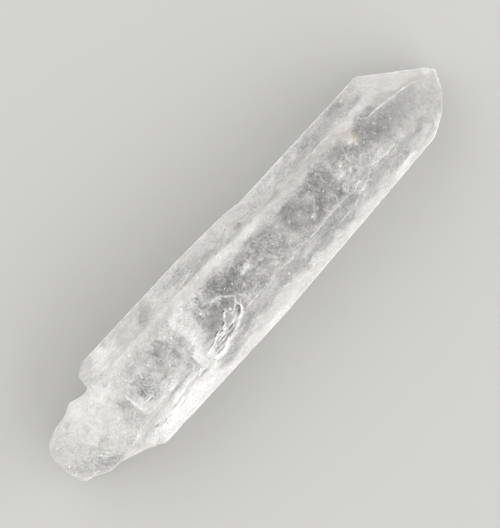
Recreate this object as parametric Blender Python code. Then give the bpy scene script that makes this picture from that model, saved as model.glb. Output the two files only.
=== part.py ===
"""A single quartz crystal lying on one of its prism faces.

The crystal is a six-sided prism along X with its point at +X and its broken root at -X.
It is worked out as a mineralogist would describe it: each flat face is a plane with an azimuth
round the long axis, a lean towards the point, and a distance from the crystal's centre.
A growth layer and the broken root are joined to it, and the chips on its edges are cut from it.
Sizes in the tables are millimetres and degrees. The mesh is in metres, +Z up, and stands on Z = 0.
"""

import math

import bmesh
import bpy
from mathutils import Matrix, Vector, noise

MM = 0.001

# Driving dimensions
LENGTH = 90.0
CENTRE_HEIGHT = 8.0
ROOT_X = -45.0
PRISM_END_X = -32.6

# Angles of quartz, in degrees
RHOMB_LEAN = 38.2
CORNER_LEAN = 24.4

# Azimuths of the six prism faces, seen from the point: 90 is up, 0 is +Y
TOP, LEFT_UPPER, LEFT_LOWER, BOTTOM, RIGHT_LOWER, RIGHT_UPPER = 90, 30, -30, -90, 210, 150
RIGHT_EDGE = 180

# Each face: azimuth, lean towards the point, distance from the centre
PRISM_FACES = (
    (TOP, 1.29, 7.92),
    (LEFT_UPPER, 0.8, 7.03),
    (LEFT_LOWER, -0.1, 7.46),
    (BOTTOM, 0.0, CENTRE_HEIGHT),
    (RIGHT_LOWER, 2.8, 9.16),
    (RIGHT_LOWER, -1.5, 9.30),
    (RIGHT_UPPER, 0.63, 7.56),
    (RIGHT_UPPER, 0.85, 7.60),
)
POINT_FACES = (
    (TOP, RHOMB_LEAN, 25.60),
    (47.3, 36.2, 24.48),
    (LEFT_LOWER, 30.9, 24.33),
    (BOTTOM, RHOMB_LEAN, 31.41),
    (RIGHT_LOWER, RHOMB_LEAN, 29.97),
    (RIGHT_UPPER, RHOMB_LEAN, 28.63),
    (RIGHT_EDGE, CORNER_LEAN, 22.52),
    (TOP, 50.0, 31.81),
)
# A layer that grew over the left side and stops part of the way along
LEFT_LAYER = (
    (78, 1.29, 8.47),
    (LEFT_UPPER, 0.64, 8.585),
    (LEFT_UPPER, 4.6, 8.03),
    (LEFT_LOWER, 0.4, 7.65),
    (26, 14.0, 8.62),
)
# How far the layer's other faces lie under the crystal's own
LAYER_INSET = 0.04

# The root: X, lowest and highest Y, lowest and highest Z of the stub at each station
ROOT_STATIONS = (
    (-44.9, -3.4, 3.2, 3.6, 10.4),
    (-44.2, -4.2, 4.3, 2.8, 11.7),
    (-43.0, -4.3, 5.0, 2.2, 12.5),
    (-41.5, -5.0, 5.5, 1.8, 13.2),
    (-39.8, -5.8, 5.7, 1.5, 13.7),
    (-38.0, -6.0, 6.0, 1.2, 14.3),
    (-36.6, -6.3, 6.8, 1.0, 14.9),
    (-35.2, -6.9, 6.3, 0.9, 15.6),
    (-33.8, -7.5, 6.1, 0.8, 16.1),
    (-32.2, -8.5, 6.2, 0.8, 16.45),
    (-30.6, -8.4, 6.0, 1.2, 16.4),
    (-28.0, -5.6, 5.0, 2.6, 15.4),
    (-26.0, -3.4, 3.4, 4.6, 11.4),
)
ROOT_SIDES = 40
ROOT_SQUARENESS = 3.0
ROOT_LUMP_SIZE = 3.6
ROOT_LUMP_HEIGHT = 0.5
# Flat breaks on the stub: azimuth, lean (negative faces the root's end), distance from its middle
ROOT_MIDDLE = Vector((-40.0, 0.0, 7.4))
ROOT_BREAKS = (
    (238, -24, 5.5),
    (128, -38, 6.3),
    (64, -30, 6.9),
    (-60, -30, 5.4),
    (150, -62, 5.3),
)

# The break across the end of the prism: straight across, sloping at the top, rounded at the sides
BREAK_X = -32.2
BREAK_TOP_X = -29.8
BREAK_TOP_HEIGHT = 16.5
BREAK_TOP_RUN = 2.6
BREAK_CORNER_FROM = 8.1
BREAK_CORNER_WIDTH = 1.6
BREAK_CORNER_DEPTH = 2.2
BREAK_ROUGHNESS = 0.35
BREAK_LUMP_SIZE = 2.6
BREAK_STEP = 0.9
BREAK_HALF_WIDTH = 13.0
BREAK_LOW, BREAK_HIGH = -3.0, 21.0

# Chips knocked from faces and edges: lowest point of the hollow, radii, turn about Z, tilt about X
CHIPS = (
    ((-10.6, -2.1, 15.25), (10.2, 6.3, 4.0), 24, 14),
    ((-23.0, -5.5, 13.55), (20.0, 3.6, 2.5), 1, 60),
    ((24.0, -8.65, 6.2), (2.2, 2.4, 1.5), 0, 90),
    ((-3.5, 5.0, 0.5), (4.0, 1.9, 1.4), 12, -150),
    ((29.4, 7.05, 8.65), (1.7, 0.9, 0.8), 35, -60),
    ((-17.0, -8.9, 5.2), (3.4, 1.6, 1.1), 3, 110),
    ((6.5, -2.9, 0.35), (5.0, 2.2, 1.2), -8, 165),
)
CHIP_SEGMENTS, CHIP_RINGS = 32, 18

QUARTZ_COLOUR = (0.86, 0.87, 0.85, 1.0)
QUARTZ_IOR = 1.544
CUT_TOLERANCE = 1e-8


def clear_scene():
    for old in list(bpy.data.objects):
        bpy.data.objects.remove(old)


def face_normal(azimuth, lean):
    """The outward normal of a face: azimuth turns it round X, and lean tips it towards the point."""
    around, tipped = math.radians(azimuth), math.radians(lean)
    return Vector(
        (math.sin(tipped), math.cos(tipped) * math.cos(around), math.cos(tipped) * math.sin(around))
    )


def cut_back(body, normal, point):
    """Cuts off what lies beyond the plane and closes the cut with one flat face."""
    everything = body.verts[:] + body.edges[:] + body.faces[:]
    bmesh.ops.bisect_plane(
        body, geom=everything, dist=CUT_TOLERANCE, plane_co=point, plane_no=normal, clear_outer=True
    )
    rim = [edge for edge in body.edges if edge.is_boundary]
    if rim:
        bmesh.ops.contextual_create(body, geom=rim)


def add_object(name, body, parent):
    """Turns a bmesh in metres into an object."""
    bmesh.ops.recalc_face_normals(body, faces=body.faces)
    mesh = bpy.data.meshes.new(name)
    body.to_mesh(mesh)
    body.free()
    made = bpy.data.objects.new(name, mesh)
    bpy.context.scene.collection.objects.link(made)
    made.parent = parent
    return made


def convex_body(name, faces, parent):
    """The body inside all the planes in faces, from the break to the point."""
    body = bmesh.new()
    bmesh.ops.create_cube(body, size=4 * LENGTH * MM)
    centre = Vector((0.0, 0.0, CENTRE_HEIGHT)) * MM
    cut_back(body, Vector((-1, 0, 0)), Vector((PRISM_END_X * MM, 0, 0)))
    for azimuth, lean, distance in faces:
        normal = face_normal(azimuth, lean)
        cut_back(body, normal, centre + normal * distance * MM)
    return add_object(name, body, parent)


def layer_faces(own, covered):
    """The layer's own faces, and the crystal's faces that it doesn't cover, set in a hair."""
    kept = [face for face in PRISM_FACES + POINT_FACES if face[0] not in covered]
    return tuple(own) + tuple((azimuth, lean, distance - LAYER_INSET) for azimuth, lean, distance in kept)


def lump(point_mm, size, height):
    """A smooth bump or hollow at a point, from noise whose lumps are about size across."""
    return height * noise.fractal(point_mm / size, 0.9, 2.1, 3, noise_basis="PERLIN_ORIGINAL")


def rounded_section(low, high, squareness, share):
    """A point on an oval between low and high, which squareness over 2 makes boxier."""
    angle = 2 * math.pi * share
    middle, half = (low + high) / 2, (high - low) / 2
    across, up = math.cos(angle), math.sin(angle)
    power = 2 / squareness
    return Vector(
        (
            middle.x + half.x * math.copysign(abs(across) ** power, across),
            middle.y + half.y * math.copysign(abs(up) ** power, up),
        )
    )


def root_ring(station):
    """The points round the stub at one station, with its lumps."""
    x, y_low, y_high, z_low, z_high = station
    ring = []
    for side in range(ROOT_SIDES):
        flat = rounded_section(
            Vector((y_low, z_low)), Vector((y_high, z_high)), ROOT_SQUARENESS, side / ROOT_SIDES
        )
        outward = Vector((0.0, flat.x, flat.y - ROOT_MIDDLE.z)).normalized()
        point = Vector((x, flat.x, flat.y))
        ring.append(point + outward * lump(point, ROOT_LUMP_SIZE, ROOT_LUMP_HEIGHT))
    return ring


def root_stub(parent):
    """The irregular milky stub that the crystal broke off its rock by."""
    body = bmesh.new()
    rings = [[body.verts.new(point * MM) for point in root_ring(station)] for station in ROOT_STATIONS]
    for near, far in zip(rings, rings[1:]):
        for side in range(ROOT_SIDES):
            following = (side + 1) % ROOT_SIDES
            body.faces.new((near[side], near[following], far[following], far[side]))
    for ring in (rings[0], rings[-1]):
        body.faces.new(ring)
    bmesh.ops.recalc_face_normals(body, faces=body.faces)
    for azimuth, lean, distance in ROOT_BREAKS:
        normal = face_normal(azimuth, lean)
        cut_back(body, normal, (ROOT_MIDDLE + normal * distance) * MM)
    return add_object("root_stub", body, parent)


def break_surface(y, z):
    """Where the rough break across the prism lies, for a point of its cross-section."""
    past_corner = max(abs(y) - BREAK_CORNER_FROM, 0.0) / BREAK_CORNER_WIDTH
    straight = BREAK_X + BREAK_CORNER_DEPTH * past_corner**2
    sloping = BREAK_TOP_X - (BREAK_TOP_HEIGHT - z) * BREAK_TOP_RUN
    roughness = lump(Vector((3.0, y, z)), BREAK_LUMP_SIZE, BREAK_ROUGHNESS)
    return Vector((max(straight, sloping) + roughness, y, z))


def steps_between(low, high, step):
    count = math.ceil((high - low) / step)
    return [low + (high - low) * i / count for i in range(count + 1)]


def break_cutter(parent):
    """A block whose +X side is the rough break across the end of the prism."""
    body = bmesh.new()
    columns = steps_between(-BREAK_HALF_WIDTH, BREAK_HALF_WIDTH, BREAK_STEP)
    rows = steps_between(BREAK_LOW, BREAK_HIGH, BREAK_STEP)
    front = [[body.verts.new(break_surface(y, z) * MM) for z in rows] for y in columns]
    for left, right in zip(front, front[1:]):
        for i in range(len(rows) - 1):
            body.faces.new((left[i], right[i], right[i + 1], left[i + 1]))
    rim = [edge for edge in body.edges if edge.is_boundary]
    pushed = bmesh.ops.extrude_edge_only(body, edges=rim)["geom"]
    for vert in (item for item in pushed if isinstance(item, bmesh.types.BMVert)):
        vert.co.x = ROOT_X * MM
    bmesh.ops.contextual_create(body, geom=[edge for edge in body.edges if edge.is_boundary])
    return add_object("break_cutter", body, parent)


def chip_cutter(number, lowest, radii, turn, tilt, parent):
    """A squashed ball, which leaves the shallow curved hollow that quartz breaks with."""
    body = bmesh.new()
    bmesh.ops.create_uvsphere(body, u_segments=CHIP_SEGMENTS, v_segments=CHIP_RINGS, radius=1.0)
    raise_ball = Matrix.Translation(Vector((0, 0, radii[2])))
    turned = Matrix.Rotation(math.radians(turn), 4, "Z")
    tilted = Matrix.Rotation(math.radians(tilt), 4, "X")
    place = Matrix.Translation(Vector(lowest)) @ tilted @ turned @ raise_ball
    shape = Matrix.Scale(MM, 4) @ place @ Matrix.Diagonal(Vector(radii)).to_4x4()
    bmesh.ops.transform(body, matrix=shape, verts=body.verts)
    return add_object(f"chip_cutter_{number}", body, parent)


def combine(target, operation, helper):
    """Joins helper to target, or cuts it away, and keeps helper out of the model."""
    step = target.modifiers.new(helper.name, "BOOLEAN")
    step.operation = operation
    step.solver = "EXACT"
    step.object = helper
    helper.hide_render = True
    helper.display_type = "WIRE"


def quartz_material():
    quartz = bpy.data.materials.new("quartz")
    quartz.use_nodes = True
    shader = quartz.node_tree.nodes["Principled BSDF"]
    shader.inputs["Base Color"].default_value = QUARTZ_COLOUR
    shader.inputs["Roughness"].default_value = 0.35
    shader.inputs["Metallic"].default_value = 0.0
    shader.inputs["Transmission Weight"].default_value = 0.7
    shader.inputs["IOR"].default_value = QUARTZ_IOR
    return quartz


def stand_on_origin(crystal, holder):
    """Puts the origin under the middle of the crystal's box, level with its resting face."""
    bpy.context.view_layer.update()
    shaped = crystal.evaluated_get(bpy.context.evaluated_depsgraph_get())
    corners = [crystal.matrix_world @ Vector(corner) for corner in shaped.bound_box]
    middle = [(min(c[i] for c in corners) + max(c[i] for c in corners)) / 2 for i in range(2)]
    lowest = min(c[2] for c in corners)
    holder.location -= Vector((middle[0], middle[1], lowest))


def build():
    clear_scene()
    holder = bpy.data.objects.new("crystal_origin", None)
    bpy.context.scene.collection.objects.link(holder)
    crystal = convex_body("quartz_crystal", PRISM_FACES + POINT_FACES, holder)
    crystal.data.materials.append(quartz_material())
    left = layer_faces(LEFT_LAYER, {LEFT_UPPER, LEFT_LOWER})
    combine(crystal, "UNION", convex_body("left_layer", left, holder))
    combine(crystal, "DIFFERENCE", break_cutter(holder))
    combine(crystal, "UNION", root_stub(holder))
    for number, chip in enumerate(CHIPS, start=1):
        combine(crystal, "DIFFERENCE", chip_cutter(number, *chip, holder))
    stand_on_origin(crystal, holder)


build()
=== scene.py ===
"""A milky quartz crystal on a plain pale floor, seen from above as in the photograph.

The crystal's own mesh is the CAD solid, remeshed finely, with its surface worked over in code: growth
waves, pits, nicked edges, and the raised and sunk lines of its chips. What clouds the crystal inside is
modelled too, as thousands of tiny closed flakes laid along veils and clouds.
Lengths in the tables are millimetres: +X to the point, +Z up. X and Y of the tables of markings are
places as the camera sees them, on the level plane half way up the crystal.
"""

import math

import bmesh
import bpy
import numpy as np
from mathutils import Euler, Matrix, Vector
from mathutils.bvhtree import BVHTree
from mathutils.kdtree import KDTree

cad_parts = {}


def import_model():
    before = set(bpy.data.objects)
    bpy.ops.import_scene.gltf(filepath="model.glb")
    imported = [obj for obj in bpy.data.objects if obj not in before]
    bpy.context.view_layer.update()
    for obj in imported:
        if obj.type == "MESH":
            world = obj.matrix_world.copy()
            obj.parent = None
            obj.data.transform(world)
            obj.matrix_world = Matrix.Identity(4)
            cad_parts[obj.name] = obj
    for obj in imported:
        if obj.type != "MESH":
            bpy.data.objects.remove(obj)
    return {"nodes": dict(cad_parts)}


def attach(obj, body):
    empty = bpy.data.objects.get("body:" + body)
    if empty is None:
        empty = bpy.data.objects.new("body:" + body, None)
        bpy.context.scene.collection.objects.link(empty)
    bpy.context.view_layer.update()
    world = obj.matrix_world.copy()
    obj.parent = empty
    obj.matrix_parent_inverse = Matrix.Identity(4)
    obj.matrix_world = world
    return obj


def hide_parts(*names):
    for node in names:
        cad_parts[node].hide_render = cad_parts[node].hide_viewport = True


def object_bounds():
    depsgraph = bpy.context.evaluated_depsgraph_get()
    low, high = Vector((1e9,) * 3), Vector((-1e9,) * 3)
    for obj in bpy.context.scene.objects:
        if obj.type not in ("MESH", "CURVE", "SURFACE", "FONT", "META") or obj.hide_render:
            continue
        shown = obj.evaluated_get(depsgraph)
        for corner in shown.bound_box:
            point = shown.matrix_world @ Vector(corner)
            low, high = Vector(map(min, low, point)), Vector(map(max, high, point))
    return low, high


MM = 0.001

# Camera and framing. The photo's scale holds on the level plane half way up the crystal.
IMAGE_LONG_SIDE = 528
PHOTO_PIXEL_MM = 0.16423
LENS = 200.0
SENSOR = 36.0
CAMERA_ROLL = -47.7
CAMERA_OFFSET_MM = (0.328, 0.164)
MIDDLE_HEIGHT = 8.0
CAMERA_TO_MIDDLE = IMAGE_LONG_SIDE * LENS / SENSOR * PHOTO_PIXEL_MM
# How much larger the top of the crystal is seen, for being nearer
TOP_SCALE = 1.016

# The remesh, turned off the grid's axes so that no long edge runs nearly along it
VOXEL = 0.46
REMESH_TURN = Euler((0.61, 0.43, 0.71))
# How near a crystal edge or a line a face lies to be split, in the first round and in the second
SPLIT_BY_EDGE = (0.36, 0.13)
SPLIT_BY_LINE = (0.42, 0.19)
# The part of the upper face split for the chip, as an oval: middle X and Y, half length, half width, turn
CHIP_OVAL = (-11.0, -2.6, 8.5, 4.0, 24)

# Edges of the solid sharper than this many degrees count as crystal edges
SHARP_EDGE = 18
EDGE_SAMPLE = 0.12
EDGE_REACH = 0.07
# CAD faces smaller than this, in square millimetres, are taken as parts of a rounded or broken surface,
# except on the point
SMALL_FACE = 4.0
POINT_FROM = 30.0
ROOT_FROM = -31.0
OUTLINE_FROM_Y = 7.0
OUTLINE_LEAN = 0.45
BROKEN_SMOOTHING = 10

# Heights and depths of the surface's relief
WAVE_HEIGHT = 0.025
ROOT_LUMP_HEIGHT = 0.11
ROOT_FURROW_DEPTH = 0.06
PIT_DEPTH = 0.05
NICK_DEPTH, NICK_WIDTH = 0.20, 0.28
SKIN_INSET = 0.02
# How high a line of full strength stands, as a share of its half width, and how far off it still shows
LINE_HEIGHT, LINE_REACH = 0.55, 0.9

# Where the crystal is milky and where it is clear, seen from above, painted one over the other:
# middle X and Y, half length, half width, turn in degrees, milkiness from 0 to 1, softness of the rim
PATCHES = (
    # The stub
    (-41.5, 0.5, 4, 5.5, 0, 0.4, 0.4), (-42.8, 4, 2.2, 0.9, 20, 0.34, 0.8),
    (-36.3, 1.8, 3, 4.8, 0, 0.62, 0.8), (-36.8, 2.6, 2, 1, -60, 0.72, 0.9),
    (-38.2, -0.6, 0.7, 1, 0, 0.74, 0.8), (-34.5, -2, 2, 2.2, 0, 0.68, 0.7),
    (-41.5, -3.6, 2.4, 0.8, -15, 0.12, 0.8), (-39.4, -4.3, 2.2, 1.1, -25, 0.05, 0.8),
    (-38, -5.4, 1.4, 0.6, 0, 0.05, 0.7), (-40.3, -1, 0.8, 0.6, 0, 0.34, 0.8),
    (-37.5, -1.8, 0.6, 0.6, 0, 0.34, 0.8), (-35, -5.6, 3, 0.9, -32, 0.38, 0.6),
    (-34, 5.2, 3, 0.8, 0, 0.62, 0.6), (-33.6, -4.7, 1.5, 0.3, -38, 0.62, 0.7),
    (-43.6, -0.2, 0.6, 1.6, 0, 0.3, 0.8),
    # The root end of the prism
    (-29.6, 2.6, 2.6, 6.4, 0, 0.58, 0.4), (-31.8, 4.2, 1.6, 1.4, 0, 0.8, 0.7),
    (-31.6, -3.6, 1.5, 2.4, 0, 0.48, 0.6), (-31.2, 0.3, 0.9, 0.9, 0, 0.1, 0.7),
    (-31.2, -4.5, 0.8, 0.7, 0, 0.32, 0.7), (-31, -7.2, 0.5, 0.35, 0, 0.1, 0.6),
    (-31, -7.8, 2.2, 0.9, 0, 0.48, 0.6),
    # The clear window before the veil
    (-23.4, -0.2, 6.2, 4.4, 0, 0.27, 0.3), (-24.6, 1.8, 3.8, 1.9, 0, 0.18, 0.5),
    (-22, 1.5, 1.5, 0.6, 0, 0, 0.5), (-23.2, -0.5, 0.8, 0.7, 0, 0, 0.5),
    (-27.7, -1, 1.1, 0.45, 15, 0.04, 0.6), (-27.2, 0.5, 0.9, 0.4, 0, 0.42, 0.7),
    (-25.6, 1.2, 0.5, 1.2, 20, 0.06, 0.8), (-18.9, -0.6, 1.3, 0.6, 80, 0, 0.6),
    (-18.1, 2.1, 0.9, 1, 0, 0.64, 0.7), (-17.6, 0.4, 0.8, 1.2, -15, 0.34, 0.7),
    (-20.9, 3, 1.1, 0.5, 0, 0.4, 0.7), (-22.9, 0.7, 1.2, 0.3, -50, 0.4, 0.7),
    (-20.2, -0.4, 1.2, 0.5, 40, 0.3, 0.8), (-23.2, -3.6, 4.4, 0.6, 8, 0.52, 0.7),
    (-21.5, -5, 3.2, 0.5, 6, 0.26, 0.7), (-28.3, -5.2, 1, 0.8, 0, 0.42, 0.7),
    (-25, -6.4, 5.5, 0.6, 5, 0.6, 0.6), (-29.7, -0.3, 0.4, 1.2, 0, 0.14, 0.6),
    (-29.1, -1.2, 2.3, 0.32, -76, 0.58, 0.6), (-28.9, -2.9, 0.7, 0.9, 0, 0.68, 0.6),
    # The left upper face
    (-28, 7.2, 1.6, 1.1, 20, 0.82, 0.9), (-27.2, 8.3, 1, 1.2, 0, 0.84, 0.7),
    (-25.4, 7.9, 0.9, 0.8, 0, 0.9, 0.9), (-25.6, 8.8, 0.6, 0.4, 0, 0.35, 0.8),
    (-26.2, 6, 1.6, 0.8, 0, 0.62, 0.8), (-24.6, 8, 0.9, 0.9, 30, 0.66, 0.7),
    (-20, 7.8, 1.4, 0.7, 40, 0.62, 0.7), (-21, 6, 2.4, 0.7, 0, 0.42, 0.8),
    (-17.2, 8.2, 1.5, 0.8, -10, 0.46, 0.7), (-15.6, 6.9, 0.9, 0.9, 0, 0.36, 0.7),
    (-14.4, 7.3, 1.9, 1.5, 60, 0.66, 0.7), (-9, 7, 3.6, 0.9, -4, 0.22, 0.7),
    (-2.6, 6.2, 3.2, 0.7, -6, 0.26, 0.7), (1, 7.6, 3.8, 0.8, -3, 0.6, 0.8),
    (3.8, 5.9, 0.9, 0.6, 0, 0.14, 0.7), (8.5, 7.2, 2.8, 0.9, 0, 0.56, 0.8),
    (6.4, 5.4, 2.2, 0.5, 0, 0.36, 0.7), (12.4, 7, 1, 0.5, 0, 0.64, 0.8),
    (11.3, 4.75, 1.9, 0.35, 0, 0.1, 0.6), (22.4, 6.6, 4.2, 1.1, 0, 0.28, 0.8),
    (18.3, 7, 0.8, 0.5, 0, 0.58, 0.8), (29.2, 7.1, 0.9, 0.5, -60, 0.16, 0.8),
    (31.6, 6.1, 2.8, 1.2, 0, 0.38, 0.8),
    # The soft band between it and the upper face
    (-16, 4.4, 5.4, 0.8, 0, 0.32, 0.8), (-4.6, 4.75, 7, 0.72, -3, 0.64, 0.35),
    (6.6, 4.05, 5, 0.62, -3, 0.64, 0.4), (-7.6, 4, 1.8, 0.9, 0, 0.55, 0.7),
    (18, 4.2, 8, 0.75, 0, 0.4, 0.5), (27.6, 4, 2.4, 1.3, 0, 0.6, 0.6),
    # The veil across the crystal
    (-14.6, 2.8, 1.6, 1.2, 0, 0.72, 0.5), (-17, -0.2, 1.8, 0.6, 90, 0.26, 0.6),
    # Around the leaf-shaped chip
    (-9.6, -0.2, 3.3, 3.3, 0, 0.12, 0.35), (-10.6, 2, 1.3, 0.9, 0, 0.3, 0.8),
    (-9.8, 2.4, 0.6, 0.6, 0, 0.04, 0.7), (-10.8, 0.7, 0.4, 0.6, 0, 0.56, 0.7),
    (-8.4, 0.6, 0.8, 0.8, 0, 0.36, 0.7), (-8.3, -1.2, 3.2, 0.75, 12, 0.02, 0.3),
    (-11.6, -3, 1.9, 0.7, 15, 0.16, 0.6),
    (-8.3, -4.9, 1.5, 0.36, 25, 0.8, 0.6),
    # The long clear window
    (5.8, -0.3, 13, 3.5, 0, 0, 0.2), (25.2, -0.4, 7.2, 3.7, 0, 0.02, 0.3),
    (-0.5, 0.25, 1.5, 0.5, 5, 0.42, 0.7), (1, -2.4, 1.6, 0.9, -10, 0.44, 0.8),
    (-3, -1, 0.8, 1.4, 0, 0.16, 0.8), (-4.1, -2.9, 1.1, 0.35, -72, 0.46, 0.7),
    (-2, -3.6, 3, 0.8, 0, 0.34, 0.8), (1.4, 2.3, 1.3, 0.7, 0, 0.17, 0.8), (8, 1.6, 1.2, 2, 0, 0.28, 0.8),
    (8.1, -0.6, 0.7, 1.1, 0, 0.3, 0.8), (2.8, 0, 1.6, 0.3, 5, 0.22, 0.8),
    (4.3, 0.5, 0.8, 0.25, 60, 0.3, 0.8), (3.5, -2.9, 0.6, 0.5, 0, 0.4, 0.8),
    (10.8, 2.9, 2.4, 0.5, 0, 0.22, 0.8), (14.6, 0.4, 1.5, 0.9, -20, 0.32, 0.8),
    (14.3, -1, 0.9, 0.35, 70, 0.26, 0.8), (13.1, -2.2, 0.45, 0.4, 0, 0.5, 0.6),
    (13, 1.7, 0.7, 0.5, 0, 0.24, 0.8), (15, 2.6, 0.4, 0.8, 0, 0.28, 0.8),
    (9, -3.7, 3.2, 0.8, 0, 0.26, 0.8), (18, -2.2, 0.5, 0.6, 0, 0.3, 0.8),
    (21.9, 2.4, 1.4, 1.2, 0, 0.16, 0.8), (22.4, 0.6, 0.4, 0.9, -20, 0.34, 0.8),
    (21, -0.9, 0.9, 1, 0, 0.42, 0.7), (26.4, 1.8, 1.2, 1.5, 0, 0.42, 0.7),
    (26.6, -2.2, 2.4, 1.1, -12, 0.32, 0.8), (27.8, -3.6, 2.6, 0.7, -6, 0.52, 0.5),
    (30.6, -3.8, 1.9, 0.45, -14, 0.44, 0.5), (22.4, -3.3, 0.6, 1.3, 40, 0.16, 0.8),
    (30.6, 2.6, 1.6, 0.6, -25, 0.1, 0.7),
    # The point
    (35.6, -1.5, 6.6, 3.5, 0, 0.28, 0.4), (33.4, 0.2, 2.6, 1.6, 0, 0.16, 0.7),
    (36.2, 1.5, 3.2, 0.4, -12, 0.4, 0.8), (38.4, 1.6, 1.6, 0.3, -12, 0.24, 0.8),
    (34.4, 4.4, 2.8, 0.9, 0, 0.64, 0.5), (37, 4.2, 4.6, 1.6, -40, 0.7, 0.4),
    (41.2, 1.4, 1.8, 0.9, -40, 0.74, 0.5), (43.3, -0.6, 2.1, 2.6, 0, 0.52, 0.35),
    (43.6, 0.4, 1.2, 0.8, -50, 0.74, 0.8), (31.5, 4.6, 2.6, 0.5, 0, 0.68, 0.6),
    # The right upper face
    (3, -5.5, 31, 1.25, 0.6, 0.2, 0.4), (5, -8.2, 33, 1.2, 1.2, 0.62, 0.6),
    (33.6, -6.4, 6.6, 1.7, 8, 0.26, 0.5), (34.8, -4.6, 4, 0.6, 0, 0.26, 0.6),
    (-22.4, -9, 9.2, 1.75, 5, 0.86, 0.3), (-12.6, -8.9, 6.5, 0.9, 2, 0.72, 0.6),
    (-15.6, -6.9, 2.4, 0.7, 4, 0.84, 0.6), (-22.5, -7.2, 6, 0.6, 5, 0.8, 0.6),
    (16.4, -5.3, 2.8, 0.6, 0, 0.14, 0.8), (6.5, -7, 0.7, 0.5, 0, 0.2, 0.7),
    (11.5, -6.7, 2, 0.7, 0, 0.18, 0.8), (3.6, -5.9, 0.9, 0.6, 0, 0.18, 0.7),
    (-4.5, -6.1, 1.8, 0.6, -8, 0.24, 0.8), (-1, -7.4, 1.4, 0.6, 0, 0.62, 0.8),
    (21.8, -5.2, 1, 0.4, 10, 0.46, 0.7), (22.2, -6, 1.4, 0.4, 0, 0.22, 0.8),
    (25.6, -7.2, 1, 0.5, 20, 0.48, 0.8), (13.6, -7.6, 0.8, 0.4, 0, 0.56, 0.8),
    (16.5, -6.8, 2.2, 0.8, 0, 0.2, 0.7), (22, -6.8, 1.8, 0.7, 0, 0.3, 0.7),
    (9.2, -5.3, 2, 0.7, 0, 0.42, 0.7), (-0.5, -4.9, 3, 0.9, 0, 0.44, 0.7),
    (30.2, -7.8, 3.4, 0.7, 4, 0.82, 0.6), (34.4, -6.9, 2.4, 0.8, 12, 0.54, 0.7),
    (-2.5, -9.1, 3, 0.5, 0, 0.9, 0.7), (-13, -7.6, 2.4, 0.7, 0, 0.28, 0.7),
    (-8.8, -7.8, 2.6, 0.5, 0, 0.42, 0.8),
    # Last touches on the upper face, from the root to the point
    (-36.6, -2.6, 3.6, 1.8, -10, 0.44, 0.5), (-34.4, -4.6, 1.8, 0.8, -30, 0.4, 0.7),
    (-38.4, 2.6, 1.4, 1.4, 0, 0.5, 0.6), (-30.2, -2.4, 0.8, 1.7, 15, 0.26, 0.9),
    (-31.6, -2.8, 0.8, 1.3, 15, 0.5, 0.8), (-32, 0.4, 0.7, 0.7, 0, 0.52, 0.7),
    (-28.4, 2, 1.6, 1.5, 0, 0.5, 0.6), (-28.2, -1.8, 0.8, 1.4, 0, 0.52, 0.7),
    (-25.2, 1.6, 1.2, 0.9, 0, 0.36, 0.7), (-23, -3.1, 1.6, 1, 0, 0.66, 0.7),
    (-24.2, -0.8, 1.1, 0.7, 0, 0.42, 0.7), (-22.6, 1.4, 1, 0.7, 0, 0.26, 0.7),
    (-19.8, -1.5, 0.6, 0.9, 0, 0.3, 0.7), (-15.6, -1.2, 1, 1.2, 0, 0.34, 0.6),
    (-19.2, 1.7, 0.9, 0.7, 0, 0.12, 0.7), (-17.6, -3.6, 1.6, 1.2, 0, 0.22, 0.6),
    (-15, -5.4, 1.2, 0.7, 10, 0.84, 0.7), (-23, -5.6, 5.4, 0.6, 3, 0.72, 0.6),
    (-25.4, -7.6, 4.4, 1, 0, 0.94, 0.6), (-12.9, -6.2, 1.7, 0.9, 4, 0.52, 0.6),
    (-9.6, -1.4, 3.4, 1.3, 8, 0, 0.3), (-5.8, -2.8, 1.4, 1.5, 0, 0.06, 0.4),
    (-6.3, 2.7, 1.9, 0.7, 0, 0.02, 0.6), (-13.2, 1.6, 0.9, 1.1, 0, 0.72, 0.7),
    (-10.8, 2.7, 1.4, 0.7, 0, 0.52, 0.7), (-7.6, 0.1, 0.5, 0.9, -40, 0.5, 0.7),
    (-2, -2.8, 1.2, 0.8, 0, 0.26, 0.7), (8.2, -2.2, 1.2, 1.2, 0, 0.36, 0.7),
    (9, 3, 4.6, 0.6, -2, 0.4, 0.6), (12, -1, 0.8, 1, 0, 0.28, 0.7), (18.2, 2.6, 2.4, 0.6, 0, 0.22, 0.7),
    (18.2, -3, 2, 0.8, 0, 0.02, 0.7), (21, 1.6, 0.6, 1.2, 0, 0.36, 0.7), (24.4, 0.3, 1.9, 1.3, 0, 0, 0.4),
    (24, -2.7, 0.8, 0.8, 0, 0.5, 0.7), (31.3, -0.6, 1, 1.3, 0, 0.04, 0.7),
    (32.2, 2.9, 1.6, 0.6, 0, 0.12, 0.8), (39.6, -2.2, 1.4, 2, -30, 0.36, 0.6),
    (38.6, -6.6, 1.3, 0.5, 30, 0.66, 0.7), (41, -0.4, 1, 2.2, 25, 0.48, 0.6),
    (32.8, 7, 1, 0.7, 0, 0.6, 0.7), (24.5, 7.5, 2, 0.5, 0, 0.48, 0.7), (20, 5.6, 4, 0.6, 0, 0.28, 0.8),
    (-12.6, 5.2, 1.6, 1.2, 0, 0.56, 0.6), (-11.4, 3.9, 3, 0.6, -3, 0.62, 0.7),
    (-11.5, 6.9, 1.8, 0.9, 0, 0.62, 0.7), (-12.6, -6.9, 1.6, 0.6, 0, 0.36, 0.7),
    (29.2, -2.4, 1.8, 0.6, -50, 0.36, 0.7), (20.4, -3.6, 0.9, 0.8, 0, 0.1, 0.7),
    (-34.8, -1.8, 1.2, 1, 0, 0.64, 0.8), (-41.4, -3.1, 1.2, 0.8, -40, 0.38, 0.8),
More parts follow.
